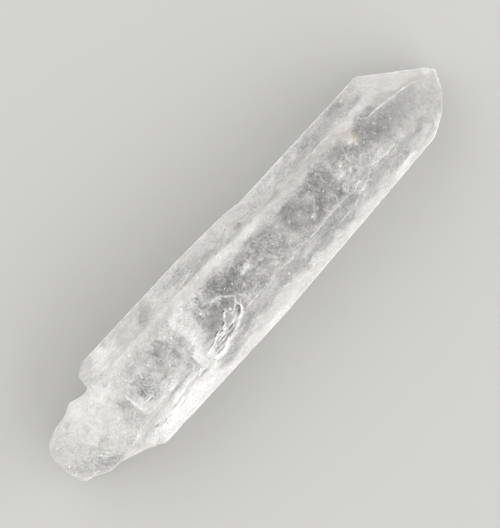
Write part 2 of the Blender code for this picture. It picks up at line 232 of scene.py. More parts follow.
    (-6.4, 1.7, 1.4, 0.8, 0, 0, 0.6), (-6, 3.4, 1.2, 0.4, 0, 0.35, 0.8), (-0.2, -0.6, 1, 0.4, 0, 0.3, 0.8),
    (3.2, -1.7, 1.2, 0.7, 0, 0.02, 0.7), (8, 5.8, 1.4, 0.8, 0, 0.52, 0.8),
    (-0.2, 5.9, 1.2, 0.7, 0, 0.46, 0.8), (-7.2, 6.4, 2, 1, 0, 0.42, 0.8), (8, 8.4, 12, 0.4, -1, 0.62, 0.8),
    (36, -5.4, 2, 0.8, 20, 0.12, 0.7), (-27.2, -3.6, 0.8, 1.4, 0, 0.56, 0.7),
    (-18.2, 7, 1.6, 0.8, 30, 0.24, 0.7), (-30.2, 4.8, 1, 0.8, 0, 0.46, 0.7),
    (-31.8, -2.6, 0.8, 1.6, 0, 0.34, 0.8), (28, 6.9, 1.6, 0.8, 0, 0.22, 0.8),
    (29.8, 0.6, 1, 1.8, 0, 0.02, 0.7), (17.2, 0.8, 1.4, 1.6, 0, 0.02, 0.6),
)
# The veil that crosses the crystal, seen from above: its left edge steps out below the step's Y,
# its right edge slopes, and each of its edges is soft over a width of its own
VEIL_MILK = 0.69
VEIL_LEFT, VEIL_LEFT_BELOW, VEIL_STEP_Y, VEIL_STEP_SOFT = -15.9, -17.4, -2.7, 0.4
VEIL_LEFT_SOFT = (-0.12, 0.25)
VEIL_RIGHT, VEIL_RIGHT_SLOPE, VEIL_RIGHT_SOFT = -13.7, 0.34, 0.8
VEIL_LOW_Y, VEIL_LOW_SOFT, VEIL_HIGH_Y = -6.3, 0.6, 3.4

# Milkiness where no patch is painted, and below; then how far it is drawn to a middle value
MILK_ELSEWHERE, MILK_BELOW, ROOT_MILK_BELOW = 0.50, 0.42, 0.18
MILK_MIDDLE, MILK_CONTRAST = 0.52, 0.90
PATCH_SQUARENESS = 2.4
# How a stain or the chip's oval falls off: how flat its middle is, and how fast it falls
OVAL_SQUARENESS, OVAL_FALL = 1.3, 0.8
# Noise in the milkiness: strength, size, seed, octaves, fade
MILK_NOISE_ABOVE = ((0.06, 1.5, 31, 4, 0.65), (0.04, 5.0, 35, 3, 0.5))
MILK_NOISE_BELOW = ((0.16, 7.0, 21, 4, 0.5), (0.08, 1.8, 25, 3, 0.6))
# How markings are pushed off their drawn places: size of the noise, reach, seed
PATCH_WOBBLES = ((2.8, 0.40, 11), (0.9, 0.16, 14))
VEIL_WOBBLE = (1.4, 0.10, 17)
LINE_WOBBLE = (0.55, 0.06, 41)

# The painted highlight: a bright white rim painted along the crystal edges that make its outline from above,
# and round the root
RIM_HIGHLIGHT_WIDTH, RIM_HIGHLIGHT_STRENGTH = 0.25, 0.7
ROOT_RIM_HIGHLIGHT, ROOT_EDGE_MILK = 0.3, 0.22

# Fine lines on the upper side: X and Y of each of their points, half width, and strength.
# A crest, with a strength up to 1, is raised and white. A gap, down to -1, is sunk and dark.
# The white of a crest is partly a painted highlight, on the chip's ripples and along ridges, and the dark of
# a gap beside it partly painted shade.
LINES = (
    # The crests and gaps of the leaf-shaped chip
    ((-15.1, -4.7, -13.6, -4.45, -12.6, -4.1, -12.1, -3.8, -11.6, -3.6, -11.1, -3.45), 0.14, 0.9),
    ((-10.6, -3.8, -10.2, -3.55, -9.7, -3.45, -9.4, -3.2, -9.35, -2.9), 0.12, 0.81),
    ((-9.2, -2.75, -8.75, -2.45, -8.3, -2.1, -8, -1.9), 0.17, 0.9),
    ((-7.9, -2.7, -7.6, -3.1, -6.9, -2.95, -6.4, -2.6, -6, -2.4, -5.7, -2.1, -5.3, -1.5), 0.13, 0.72),
    ((-5.3, -1.45, -5.9, -0.8, -6.45, -0.35, -6.8, 0, -7.1, 0.25), 0.15, 0.72),
    ((-7.1, 0.25, -7.9, 0.5, -9.1, 0.6), 0.12, 0.45),
    ((-5.9, -2.35, -5.8, -2.7, -5.6, -3.1, -5.75, -3.6, -6.4, -4.3, -7.1, -4.5, -7.6, -4.6), 0.24, 0.9),
    ((-5.6, -3.1, -5.25, -2.85, -5, -2.65), 0.1, 0.63),
    ((-15.1, -6.1, -13.9, -6.3, -13, -6.3, -12.1, -6, -11.2, -5.7, -9.6, -5.5), 0.38, 0.85),
    ((-9.6, -5.45, -9, -5.2, -8.2, -5.1, -7.6, -4.7), 0.32, 0.63),
    ((-12.5, -4.55, -11.6, -4.45, -10.7, -4.45), 0.17, 0.9),
    ((-12.4, -4.1, -11.9, -4, -11.2, -4, -10.7, -4.1, -10.5, -4.5), 0.11, 0.81),
    ((-10.6, -3.8, -10.3, -3.95, -10, -4.2), 0.14, 0.9),
    ((-9.4, -4.15, -8.7, -4.25, -8.3, -4.05, -7.6, -3.8), 0.11, 0.72),
    ((-8.6, -4.3, -9, -4.8, -9.8, -4.8, -10.7, -4.7), 0.09, 0.54),
    ((-12.6, -4.95, -11.6, -4.98, -10.9, -4.92), 0.08, 0.54),
    ((-13.6, -4.9, -13.2, -4.8, -13, -4.5), 0.1, 0.63),
    ((-14.1, -5.65, -13.5, -5.6, -12.6, -5.62), 0.09, 0.72), ((-8, -2.25, -7.8, -2.35), 0.14, 0.81),
    ((-7.45, -2.4, -7.2, -2.5), 0.2, 0.9), ((-8.1, -3.4, -7.95, -3.5), 0.12, 0.63),
    ((-10.4, -0.2, -10.2, -0.2), 0.15, 0.72), ((-12.4, -3.65, -11.8, -3.4, -11.1, -3.25), 0.1, -0.54),
    ((-11.4, -3.78, -10.9, -3.82, -10.65, -4), 0.1, -0.9),
    ((-12.5, -4.75, -11.7, -4.76, -11, -4.72), 0.1, -0.9),
    ((-12.7, -5.3, -11.7, -5.26, -10.5, -5.1, -9.2, -5), 0.09, -0.72),
    ((-9.8, -4.5, -9.2, -4.4, -8.8, -4.4), 0.11, -0.72), ((-14.1, -5.5, -13.4, -5.45), 0.08, -0.81),
    ((-14, -5.8, -13.2, -5.78, -12.4, -5.82), 0.1, -0.9),
    ((-13.9, -5.1, -13.5, -5.15, -13.1, -5.3), 0.09, -0.63),
    ((-14.6, -4.2, -13.5, -4.2, -12.8, -4), 0.1, -0.45),
    ((-7.2, -4, -6.7, -3.85, -6.1, -3.4, -5.95, -2.9), 0.15, -0.72),
    ((-10.2, -3.3, -9.6, -3.1), 0.12, -0.72), ((-9.9, 0.9, -9.7, 0.8), 0.14, -0.63),
    ((-7.7, -0.1, -7.2, -0.45), 0.12, -0.63), ((-7.8, -0.95, -7.4, -0.9), 0.15, -0.63),
    ((-6.7, 1.25, -6.6, 1.2), 0.15, -0.54), ((-15.25, -6, -15.1, -6.3), 0.1, -0.72),
    ((-8.2, -2, -8.5, -1.75), 0.08, -0.63), ((-7.5, 2.3, -7.2, 1.6, -7.1, 1), 0.12, 0.4),
    ((-9.8, 1.7, -9.2, 1.1, -8.6, 0.6), 0.13, 0.3), ((-8.9, 2.9, -8.3, 2.4, -8, 1.8), 0.1, 0.3),
    ((-10.5, 2.6, -10.2, 2.1), 0.14, -0.45), ((-9.9, 3, -9.6, 2.5), 0.13, -0.4),
    ((-10.7, 1.9, -10.5, 1.5), 0.12, -0.4), ((-8.4, 3.6, -7.7, 3.2), 0.13, -0.35),
    ((-7.6, -0.5, -7.3, -0.7), 0.12, -0.5), ((-11.3, 1.2, -11, 0.9), 0.12, -0.35),
    # The torn edge below the clear window
    ((-18.3, -5.6, -17.6, -5.5), 0.09, 0.56), ((-19, -6.05, -18.1, -5.9, -17.4, -5.75), 0.11, 0.7),
    ((-23.6, -6.5, -22.6, -6.4, -21.4, -6.2), 0.08, 0.35),
    ((-25.4, -6.9, -24.2, -6.75, -23.2, -6.75), 0.09, 0.3),
    ((-25, -5.9, -24, -5.8, -23, -5.75, -22, -5.7), 0.15, 0.42),
    ((-20.8, -4.7, -20.6, -5, -20.4, -5.25), 0.12, 0.63),
    ((-18.9, -4.85, -18.7, -4.5, -18.2, -4.4), 0.09, 0.56), ((-21.6, -5.4, -20.9, -5.5), 0.13, 0.56),
    ((-24.9, -4.9, -23.8, -4.8, -23, -4.6, -22.2, -4.4, -21.4, -4.15), 0.13, -0.32),
    ((-25.8, -6.55, -24.7, -6.45), 0.09, -0.42), ((-24.8, -7.1, -23.8, -7.1, -22.8, -6.97), 0.08, -0.56),
    ((-23.4, -6.65, -22.7, -6.6, -21.8, -6.45), 0.07, -0.42), ((-19.7, -5.85, -18.8, -5.8), 0.08, -0.42),
    ((-18.7, -5.3, -17.6, -5.3), 0.09, -0.49), ((-18.4, -6.3, -17.7, -6.1), 0.08, -0.49),
    ((-19.4, -6.8, -18.8, -7), 0.09, -0.35),
    ((-29.3, -6.95, -28.6, -7.05, -28, -7, -27.6, -6.8), 0.1, -0.7),
    ((-27.2, -6.95, -26.5, -6.95), 0.08, -0.49), ((-29.9, -6.45, -29.4, -6.45), 0.14, -0.7),
    ((-30.2, -7.1, -29.7, -7.15), 0.09, -0.56), ((-31.1, -7.05, -31, -7.35, -30.8, -7.4), 0.11, -0.7),
    ((-31.8, -7.45, -31.4, -7.42), 0.09, -0.49), ((-28.3, -7.4, -27.9, -7.42), 0.1, -0.56),
    ((-27.6, -7.5, -27.2, -7.4), 0.11, -0.63), ((-29.8, -6.2, -29.2, -6.1, -28.4, -6.3), 0.08, 0.25),
    ((-27.6, -6.4, -27, -6.6), 0.08, 0.25),
    # The clear window and its flaws
    ((-17.25, -3, -17.35, -3.8, -17.3, -4.8), 0.09, 0.4),
    ((-29.5, -2.1, -29.1, -2.8, -28.7, -3.3), 0.18, 0.5),
    ((-29.4, 0.6, -29.5, -0.6, -29.3, -1.6, -28.9, -2.1), 0.22, 0.25),
    ((-27.7, 3.7, -26.9, 4.3), 0.11, 0.4), ((-27.7, -2.52, -26.5, -2.5), 0.09, 0.45),
    ((-27.5, -2.8, -26.6, -2.75), 0.09, -0.4), ((-24, -3.3, -23.1, -2.9), 0.11, 0.3),
    ((-23.8, -4.05, -22.8, -4.1), 0.12, 0.3), ((-26.8, -1.1, -26.9, -1.5), 0.09, 0.35),
    ((-27.8, -0.95, -27.5, -1.1, -27.4, -1.2), 0.14, -0.4), ((-27.1, -0.85, -27, -0.95), 0.12, -0.4),
    ((-27.15, -1.5, -27.15, -1.8), 0.12, -0.35), ((-26.6, -1.3, -26.6, -1.6), 0.1, -0.3),
    ((-25.8, 0.55, -25.7, 0.5), 0.13, -0.35), ((-23.4, 0.15, -23.2, 0.05), 0.12, -0.3),
    ((-22.9, -0.35, -22.5, -0.7), 0.18, -0.3), ((-21.4, 0.4, -21, 0.3), 0.14, -0.35),
    ((-22, 1.2, -21.8, 1), 0.12, -0.3), ((-20.4, 3.3, -20.3, 2.8, -20, 2.4), 0.14, -0.25),
    ((-19.7, 3.7, -19.4, 2.9, -18.8, 2.2), 0.12, -0.25), ((-21.5, 2, -21.2, 1.5, -20.8, 1.1), 0.15, -0.3),
    ((-19.6, -0.2, -19.1, -0.15, -18.4, -0.1), 0.14, -0.4), ((-17.4, 0, -17.2, -0.1), 0.13, -0.35),
    ((-18.9, -0.8, -18.6, -1.6), 0.22, -0.2), ((-17, 2.9, -16.6, 2.4), 0.16, -0.25),
    ((-23.9, 0, -23.7, -0.2), 0.11, 0.4), ((-19.2, 1.7, -19.3, 1.3), 0.15, 0.4),
    ((-18.6, 0.9, -18.4, 0.4), 0.11, 0.4), ((-17.2, -1.1, -17.7, -1.4), 0.1, 0.3),
    ((-21, -1.5, -20.6, -1.1), 0.1, 0.3),
    # The left upper face
    ((-22.45, 4.9, -22.4, 4.85), 0.12, -0.4), ((-17.95, 4.85, -17.6, 4.5), 0.08, -0.25),
    ((-24.4, 4.85, -24, 4.75), 0.14, 0.35), ((-10.2, 6.2, -8.6, 6.3, -7.8, 6.5, -7.1, 6.9), 0.11, 0.35),
    ((-8.2, 6.7, -7.6, 6.5, -7.2, 6.1), 0.1, 0.35), ((-9.7, 5.85, -8, 5.75, -6.6, 5.75), 0.09, -0.2),
    ((3.9, 6.1, 4.2, 6), 0.12, -0.3), ((4.2, 6.2, 4.5, 6.1), 0.1, 0.35),
    ((19, 5, 20.2, 5, 20.9, 4.87, 22, 5, 23.5, 4.95, 24.8, 4.75), 0.1, 0.5),
    ((20.6, 5.25, 22.6, 5.25), 0.07, -0.3), ((21.6, 4, 21.3, 3.9), 0.14, 0.3),
    ((22.3, 8.3, 22.1, 6.2), 0.08, 0.22), ((23.3, 8.4, 23.2, 6.6), 0.08, 0.18),
    ((20.4, 8.3, 20.4, 7), 0.08, 0.18), ((29.2, 7.2, 29.6, 6.6), 0.12, -0.15),
    ((27, 5.4, 27.5, 5.5), 0.11, 0.3),
    # The long clear window and its flaws
    ((-1.9, 0, -1.2, 0), 0.24, 0.5), ((-0.9, 0.6, -0.4, 0.45), 0.16, 0.45),
    ((-0.7, 0.1, 0, 0.15, 0.1, 0.4), 0.14, 0.45), ((0.5, 0.4, 0.7, 0.2), 0.13, 0.3),
    ((9.5, -0.15, 9.9, 0.15), 0.11, 0.5), ((-3, -1.2, -2.7, -1.4), 0.14, 0.4),
    ((-4.7, -2, -4.2, -2.2), 0.14, 0.45), ((-5.1, -2.6, -4.8, -2.5), 0.17, 0.4),
    ((-1.4, -3, -0.7, -2.85), 0.13, 0.3), ((3.2, -3, 3.8, -3.1), 0.13, 0.35),
    ((2.5, -2.35, 2.9, -2.3), 0.12, 0.3), ((4.3, 1.5, 4.6, 1.35), 0.15, -0.3),
    ((11, 2.2, 11.4, 1.9), 0.16, -0.25), ((11.2, -3.8, 11.3, -3.95), 0.15, -0.4),
    ((1.3, 0.3, 1.3, 0.1), 0.11, -0.3), ((14.2, -1.5, 14.6, -1.2, 15, -0.7, 15.6, 0), 0.1, 0.4),
    ((14.5, -0.5, 14.7, -0.8), 0.16, -0.25), ((15.6, 1.2, 15.9, 1.1), 0.16, -0.3),
    ((17.7, -3.6, 18, -2.9, 18.2, -2.5, 17.6, -2.2), 0.12, 0.4),
    ((23.7, -0.3, 24.1, 0.7, 24.6, 1.6, 24.9, 2.3), 0.09, 0.28), ((25, 1.8, 24.7, 1), 0.14, -0.2),
    # The wide gap first on the line below is a painted shadow, a soft dark spot near the brown stain
    ((24.5, 0.3, 25.3, -0.1), 0.45, -0.22), ((22.6, -1.9, 23, -1.5, 23.3, -1.35), 0.13, 0.5),
    ((26, 1.5, 26.3, 1.3), 0.16, 0.35), ((26.5, 0.7, 26.7, 0.5), 0.13, 0.5),
    ((20.3, -1.3, 20.9, -1.2, 21.5, -1.3), 0.12, 0.3), ((28.9, 2.4, 29.1, 2), 0.13, -0.35),
    ((27.9, 2.3, 28.2, 2.2), 0.16, -0.25), ((29.4, 3.5, 30, 2.9, 30.7, 2.4, 31.3, 2.1), 0.1, 0.25),
    # Along the ridge of the point, from the line before this one: a painted highlight, with gaps of painted
    # shade just above it
    ((31.2, 2.1, 32.2, 2, 34.2, 1.8, 35.2, 1.6), 0.11, 0.5),
    ((35.4, 1.55, 37.2, 1.25, 38.6, 1, 40.1, 0.65, 41.2, 0.1), 0.11, 0.4),
    ((30.3, 2.9, 31, 2.4, 32, 2.25), 0.11, -0.2), ((38, 1.45, 39.3, 1.25), 0.1, -0.25),
    # The ridge to the right upper face, which shows only in places: a painted highlight along it, with a line
    # of painted shade beside it
    ((-5.2, -4.2, -3, -4.1, -1, -4.1), 0.14, 0.18), ((4.5, -4.4, 5.8, -4.4), 0.15, 0.41),
    ((8.4, -4.3, 10, -4.25, 11.4, -4.35, 12.6, -4.2), 0.11, 0.23),
    ((26.6, -4, 28, -4.2, 29.5, -4.25, 31, -4.15), 0.1, 0.36),
    ((25.6, -4, 27, -4.1, 28.4, -4.35), 0.07, -0.27),
    # The right upper face
    ((15.1, -6.2, 16.4, -6.2, 17.9, -6.15), 0.09, 0.36),
    ((19, -6.1, 19.7, -5.95, 20.6, -5.65), 0.13, 0.45),
    ((20.4, -4.7, 21.2, -4.3, 22, -4.15, 22.8, -4.3), 0.1, 0.27),
    ((20.6, -5, 21.6, -5.3, 22.6, -5.1, 23.3, -4.8, 24.1, -5.2), 0.12, 0.32),
    ((21.1, -4.65, 21.7, -4.4, 22.3, -4.35), 0.1, -0.27), ((3.2, -5.7, 3.6, -5.55), 0.15, 0.32),
    ((1.9, -6.9, 2.3, -6.7), 0.13, 0.27), ((13.2, -6, 13.4, -5.9), 0.14, 0.27),
    ((13.3, -7.5, 14.4, -7.6), 0.14, 0.32), ((28.3, -4.7, 28.7, -4.6), 0.13, 0.32),
    # The stub
    ((-38.5, -3.2, -38, -3.8, -37.3, -4.5), 0.08, 0.23),
    ((-39.9, -2.1, -39.5, -2.85, -38.8, -3.7, -38.3, -4.2, -37.7, -4.6, -36.8, -5.6), 0.11, 0.36),
    ((-33.6, -3.1, -34.2, -3.55, -34.9, -4.15, -35.5, -4.8), 0.12, 0.27),
    ((-32, -2.85, -31.4, -2.9), 0.11, 0.36), ((-30.8, -2.35, -30.1, -2.25), 0.11, 0.36),
    ((-38.7, -1, -38.1, -1.2), 0.17, 0.36), ((-42.7, -4.35, -41.9, -4.3, -41.2, -4.55), 0.12, 0.36),
    ((-42.3, -4.5, -41.8, -4.48, -41.2, -4.7), 0.09, -0.45), ((-37.5, -1.3, -37.4, -1.7), 0.11, -0.23),
    ((-31.2, 0.8, -31.3, 0.2), 0.11, -0.36), ((-30.5, 0.6, -30.4, 0.2), 0.1, -0.36),
    ((-31, -0.2, -31.2, -0.6), 0.1, -0.27), ((-29.7, -0.2, -29.6, -0.7), 0.12, -0.32),
    ((-30.9, 0.8, -30.7, 0.3), 0.1, 0.36), ((-39.9, 4.4, -39.7, 4.3), 0.12, -0.36),
)
# The torn edge, as a strip of fine streaks: points in X and Y along its middle, and its half width
TORN_EDGE = (
    (-31.6, -7.5), (-28.0, -7.0), (-24.0, -6.5), (-20.0, -6.0), (-17.4, -5.6), (-14.0, -5.3), (-10.0, -4.5),
    (-7.0, -3.4),
)
TORN_HALF_WIDTH = 0.75

# How much fine mottling each part shows, painted like the milkiness
BUSY_ELSEWHERE, BUSIEST = 1.05, 1.5
BUSY_PATCHES = (
    (3, -7, 32, 2.6, 1, 0.7, 0.4), (-41, 0.5, 5, 5.5, 0, 1.1, 0.5), (-23, -0.5, 7, 4.6, 0, 1.45, 0.4),
    (-9.6, -0.5, 3.6, 3.6, 0, 1.1, 0.5), (9, -0.5, 17, 3.8, 0, 1, 0.4), (2, 4.6, 26, 1.1, -1, 0.25, 0.6),
    (38, 0, 8.5, 8, 0, 0.22, 0.3),
)
# Brown stains: middle X and Y, half length, half width, turn, strength
STAINS = (
    (27.5, 1.6, 0.55, 1, -10, 0.75),
    (26.4, 3.3, 1.6, 0.8, 20, 0.35),
    (-37.4, -1.8, 0.5, 0.9, 10, 0.45),
    (-35.2, -0.6, 2, 1.6, 0, 0.1),
    (-19, 5.2, 2.6, 1.4, 0, 0.1),
    (-8, 4.6, 4.5, 0.9, -3, 0.1),
    (6, 3.6, 4.5, 0.7, -3, 0.1),
)
# Larger white specks: X, Y, size, depth
SPECKS = (
    (13, -2.15, 0.42, 0.5), (11.7, -0.4, 0.26, 0.4), (23.2, -1.5, 0.3, 0.3), (26.6, 0.6, 0.26, 0.3),
    (-6.2, 1.1, 0.26, 0.2), (-5.5, 0.5, 0.24, 0.2), (-4.8, -0.1, 0.24, 0.2), (-4.1, 0.1, 0.22, 0.2),
    (-4.8, 2.2, 0.2, 0.4), (-4.3, 2.1, 0.2, 0.4), (-11.7, -1.2, 0.2, 0.3), (-9.3, -1.8, 0.18, 0.3),
    (-10.2, 7.7, 0.2, 0.2), (-9.2, 8.1, 0.18, 0.2), (0.8, 7.3, 0.18, 0.2), (15.9, 5.9, 0.22, 0.2),
    (-26.4, 0.6, 0.22, 0.3), (-25.4, 0.75, 0.28, 0.1), (-24.4, -0.2, 0.22, 0.3), (-22.3, 0.7, 0.2, 0.3),
    (-18.1, 1.05, 0.24, 0.2), (-18, 2.5, 0.4, 0.3), (-17.3, 1.7, 0.36, 0.3), (-23.2, 1.4, 0.34, 0.4),
    (-28.5, 3.3, 0.3, 0.2), (-25.2, 6.6, 0.26, 0.2), (-25.3, 7.9, 0.36, 0.3), (-28.2, 6.9, 0.28, 0.3),
    (-28.9, 7.8, 0.24, 0.3), (-25.1, 9, 0.24, 0.2), (-18.2, 8.2, 0.24, 0.3), (-23.3, -3.65, 0.24, 0.2),
    (-43.7, 3.2, 0.26, 0.1), (-34, 4.1, 0.3, 0.3), (-39.5, -2.9, 0.24, 0.1), (-28.6, 3.4, 0.24, 0.2),
    (3.5, -5.6, 0.28, 0.3), (4.9, -4.4, 0.26, 0.1), (5.7, -4.4, 0.22, 0.1), (29.7, 4, 0.18, 0.3),
    (35, -1, 0.14, 0.8), (15.7, 1, 0.26, 0.3), (20, -3.6, 0.2, 0.3), (28.5, -4.65, 0.26, 0.2),
    (-1.3, 1.5, 0.24, 0.5), (9.9, 0.1, 0.22, 0.2), (0.1, -1.5, 0.2, 0.4), (-2.7, -1.4, 0.24, 0.3),
)
# Veils of bubbles inside: the line a veil shows along from above, the way it runs down, its depth, its bits
VEILS = (
    ((-14.4, 3.4), (-16.5, -6), (-0.25, 0, -1), 7, 5200),
    ((-22, 3.9), (31, 2.6), (0, 0.75, -0.55), 2, 7000),
    ((-31, 6), (-20, -3.5), (0.35, 0.2, -1), 11, 4200),
    ((18.5, -3), (23, 2), (0.4, -0.3, -1), 8, 2600),
    ((24, -3.8), (33, -3.6), (0, -0.6, -0.8), 4, 2400),
    ((-6, 4), (6, -4), (0.2, 0.5, -1), 9, 2600),
    ((-24, -5.5), (8, -7.8), (0, 0.2, -1), 7, 5200),
)
VEIL_TOP_Z = 16.2
# How far the bits are strewn off a veil's sheet, and how thin the sheet may be where it still shows
VEIL_SPREAD, VEIL_THINNEST = 0.08, -0.15
# The clouds of bubbles in the root: how many, where they start, how far they reach
ROOT_BITS, ROOT_CLOUD_START = 9000, -24
ROOT_CLOUD_LENGTH, ROOT_CLOUD_HALF_WIDTH, ROOT_CLOUD_HALF_HEIGHT = 20.5, 9.5, 8
# The bits strewn everywhere: how many, and between which corners
LOOSE_BITS, LOOSE_LOW, LOOSE_HIGH = 3500, (-32, -9.5, 0.3), (44, 9.5, 16.3)
BIT_SIZE, SMALLEST_BIT, LARGEST_BIT = 0.11, 0.04, 0.30
# How far inside the crystal's surface a bit's middle lies at least
BIT_INSET = 0.15
BITS_PER_SPECK = 9

# What each pattern, and each stored kind of line, adds to the cloudiness
CLOUD_PATTERNS = (("grain", 0.30), ("clots", 0.26), ("streaks", 0.16), ("wisps", 0.16), ("specks", 0.3))
# The white lines hold the painted rim highlight too, and the lines' white and dark are partly painted
# highlight and shade
CLOUD_LINES = (("white", 0.9), ("dark_and_shade", -0.4))

# Colours of the quartz, from clear to frosted, and of what marks it
CLEAR_GREY, FROST_GREY = (0.62, 0.62, 0.61), (0.83, 0.825, 0.81)
GRAIN_WHITE = (1.0, 0.995, 0.98)
WISP_WHITE = (0.98, 0.98, 0.97)
# The white of crests and of the painted rim highlight, and the grey of gaps, partly painted shade
CREST_AND_HIGHLIGHT_WHITE = (0.99, 0.99, 0.985)
GAP_AND_SHADE_GREY = (0.26, 0.26, 0.25)
TORN_GREY = (0.52, 0.52, 0.51)
WARM_WHITE = (0.97, 0.94, 0.92)
STAIN_BROWN = (0.82, 0.70, 0.50)
INCLUSION_WHITE = (0.93, 0.93, 0.92)

# How light goes through the quartz. Glow is how much of the light spreads in the frost, and how far, in
# metres
QUARTZ_IOR = 1.544
GLOW, GLOW_DEPTH = 0.7, 0.0015
HAZE_COLOUR, HAZE_DENSITY = (0.80, 0.82, 0.80, 1), 16.0
BUMP_STRENGTH, BUMP_HEIGHT = 0.35, 0.00006

# The studio, in metres and watts
FLOOR_GREY, FLOOR_HALF = (0.52, 0.52, 0.51), 1.5
WORLD_WHITE, WORLD_STRENGTH = (1.0, 0.99, 0.97), 0.82
LAMP_SIZE = (2.2, 1.1)
LAMPS = (("left_side", (-0.2, 0.85, 0.52), 6.8), ("right_side", (0.3, -0.85, 0.46), 11.0))


def set_inputs(node, **values):
    for name, value in values.items():
        node.inputs[name.replace("_", " ")].default_value = value


def smooth(value, low, high):
    """0 at low, 1 at high, and an even S between them. Low may be the larger one."""
    share = np.clip((value - low) / (high - low), 0, 1)
    return share * share * (3 - 2 * share)


def lattice_random(cells, seed):
    """A repeatable number from 0 to 1 for each whole-number point."""
    mixed = cells[:, 0] * 374761393 + cells[:, 1] * 668265263 + cells[:, 2] * 1442695041 + seed * 362437
    mixed = mixed & 0xFFFFFFFF
    mixed = ((mixed ^ (mixed >> 13)) * 1274126177) & 0xFFFFFFFF
    mixed = ((mixed ^ (mixed >> 15)) * 2246822519) & 0xFFFFFFFF
    return (mixed ^ (mixed >> 16)) / 0xFFFFFFFF


def value_noise(points, seed):
    """Smooth noise from -1 to 1 whose lumps are about one unit across."""
    whole = np.floor(points).astype(np.int64)
    part = points - whole
    part = part**3 * (part * (part * 6 - 15) + 10)
    total = np.zeros(len(points))
    for corner in np.ndindex(2, 2, 2):
        weight = np.prod(np.where(corner, part, 1 - part), axis=1)
        total += weight * lattice_random(whole + np.array(corner), seed)
    return total * 2 - 1


OCTAVE_TURN = np.array(Euler((0.5, 0.9, 0.3)).to_matrix())
OCTAVE_SCALE = 2.03
LUMPS_GAIN = 1.6


def lumps(points, size, seed, octaves=4, fade=0.5):
    """Noise of several sizes, the largest about size millimetres across, from about -1 to 1."""
    total, scale, strength, reach = np.zeros(len(points)), 1 / size, 1.0, 0.0
    turned = points.copy()
    for octave in range(octaves):
        total += strength * value_noise(turned * scale, seed + octave * 17)
        reach += strength
        scale *= OCTAVE_SCALE
        strength *= fade
        turned = turned @ OCTAVE_TURN
    return total / reach * LUMPS_GAIN


def layered(points, layers):
    """The sum of noise layers, each given by its strength and what lumps takes."""
    return sum(strength * lumps(points, *layer) for strength, *layer in layers)


def wobbled(points, size, reach, seed):
    """The points, each moved a little by noise."""
    return points + reach * np.stack([lumps(points, size, seed + axis, 3) for axis in range(3)], axis=1)


def as_seen(points):
    """The points, moved in X and Y to where the camera sees them on the plane half way up."""
    offset = np.array(CAMERA_OFFSET_MM)
    scale = CAMERA_TO_MIDDLE / (CAMERA_TO_MIDDLE + MIDDLE_HEIGHT - points[:, 2:])
    return np.column_stack([offset + (points[:, :2] - offset) * scale, points[:, 2]])


def along_and_across(points, middle_x, middle_y, turn):
    """How far each point lies along and across a turned line through a middle, seen from above."""
    angle = math.radians(turn)
    x, y = points[:, 0] - middle_x, points[:, 1] - middle_y
    return x * math.cos(angle) + y * math.sin(angle), -x * math.sin(angle) + y * math.cos(angle)


def oval(points, middle_x, middle_y, half_length, half_width, turn):
    """1 in the middle of a turned oval seen from above, falling softly to 0 beyond it."""
    along, across = along_and_across(points, middle_x, middle_y, turn)
    radius_squared = (along / half_length) ** 2 + (across / half_width) ** 2
    return np.exp(-(radius_squared**OVAL_SQUARENESS) * OVAL_FALL)


def patch_share(points, middle_x, middle_y, half_length, half_width, turn, softness):
    """1 inside a turned, slightly boxy oval, falling to 0 across its rim."""
    along, across = along_and_across(points, middle_x, middle_y, turn)
    along, across = np.abs(along) / half_length, np.abs(across) / half_width
    radius = (along**PATCH_SQUARENESS + across**PATCH_SQUARENESS) ** (1 / PATCH_SQUARENESS)
    return 1 - smooth(radius, 1 - softness, 1 + softness)


def painted(points, start, patches):
    """A start value everywhere, with each patch's own value painted over it in turn."""
    values = np.full(len(points), start)
    for *shape, value, softness in patches:
        values += (value - values) * patch_share(points, *shape, softness)
    return values


def veil_share(points):
    """1 inside the veil's strip, seen from above, with a crisp left edge and a soft right one."""
    x, y = points[:, 0], points[:, 1]
    step = smooth(y, VEIL_STEP_Y + VEIL_STEP_SOFT, VEIL_STEP_Y - VEIL_STEP_SOFT)
    left = VEIL_LEFT + (VEIL_LEFT_BELOW - VEIL_LEFT) * step
    right = VEIL_RIGHT + VEIL_RIGHT_SLOPE * y
    low_end = smooth(y, VEIL_LOW_Y - VEIL_LOW_SOFT, VEIL_LOW_Y + VEIL_LOW_SOFT)
    high_end = smooth(y, VEIL_HIGH_Y + 1.5, VEIL_HIGH_Y - 0.5)
    left_edge = smooth(x - left, *VEIL_LEFT_SOFT)
    return low_end * high_end * left_edge * smooth(right - x, -VEIL_RIGHT_SOFT, VEIL_RIGHT_SOFT)


def milkiness(points, facing_up):
    """How cloudy the crystal is at each point, from 0 to 1."""
    moved = points
    for wobble in PATCH_WOBBLES:
        moved = wobbled(moved, *wobble)
    above = painted(moved, MILK_ELSEWHERE, PATCHES)
    above += (VEIL_MILK - above) * veil_share(wobbled(points, *VEIL_WOBBLE))
    above = MILK_MIDDLE + (above - MILK_MIDDLE) * MILK_CONTRAST + layered(points, MILK_NOISE_ABOVE)
    below = MILK_BELOW + ROOT_MILK_BELOW * smooth(-points[:, 0], 26, 33) + layered(points, MILK_NOISE_BELOW)
    return np.clip(below + (above - below) * facing_up, 0.0, 1.0)


def busyness(points):
    """How strong the fine mottling is at each point."""
    busy = painted(points, BUSY_ELSEWHERE, BUSY_PATCHES) + 0.2 * lumps(points, 3.0, 51, 3)
    return np.clip(busy, 0.0, BUSIEST)


def from_piece(flat, start, end):
    """How far each X and Y is from a straight piece of a line, and the share along it of the nearest spot."""
    run = end - start
    share = np.clip((flat - start) @ run / (run @ run), 0, 1)
    return np.linalg.norm(flat - start - share[:, None] * run, axis=1), share


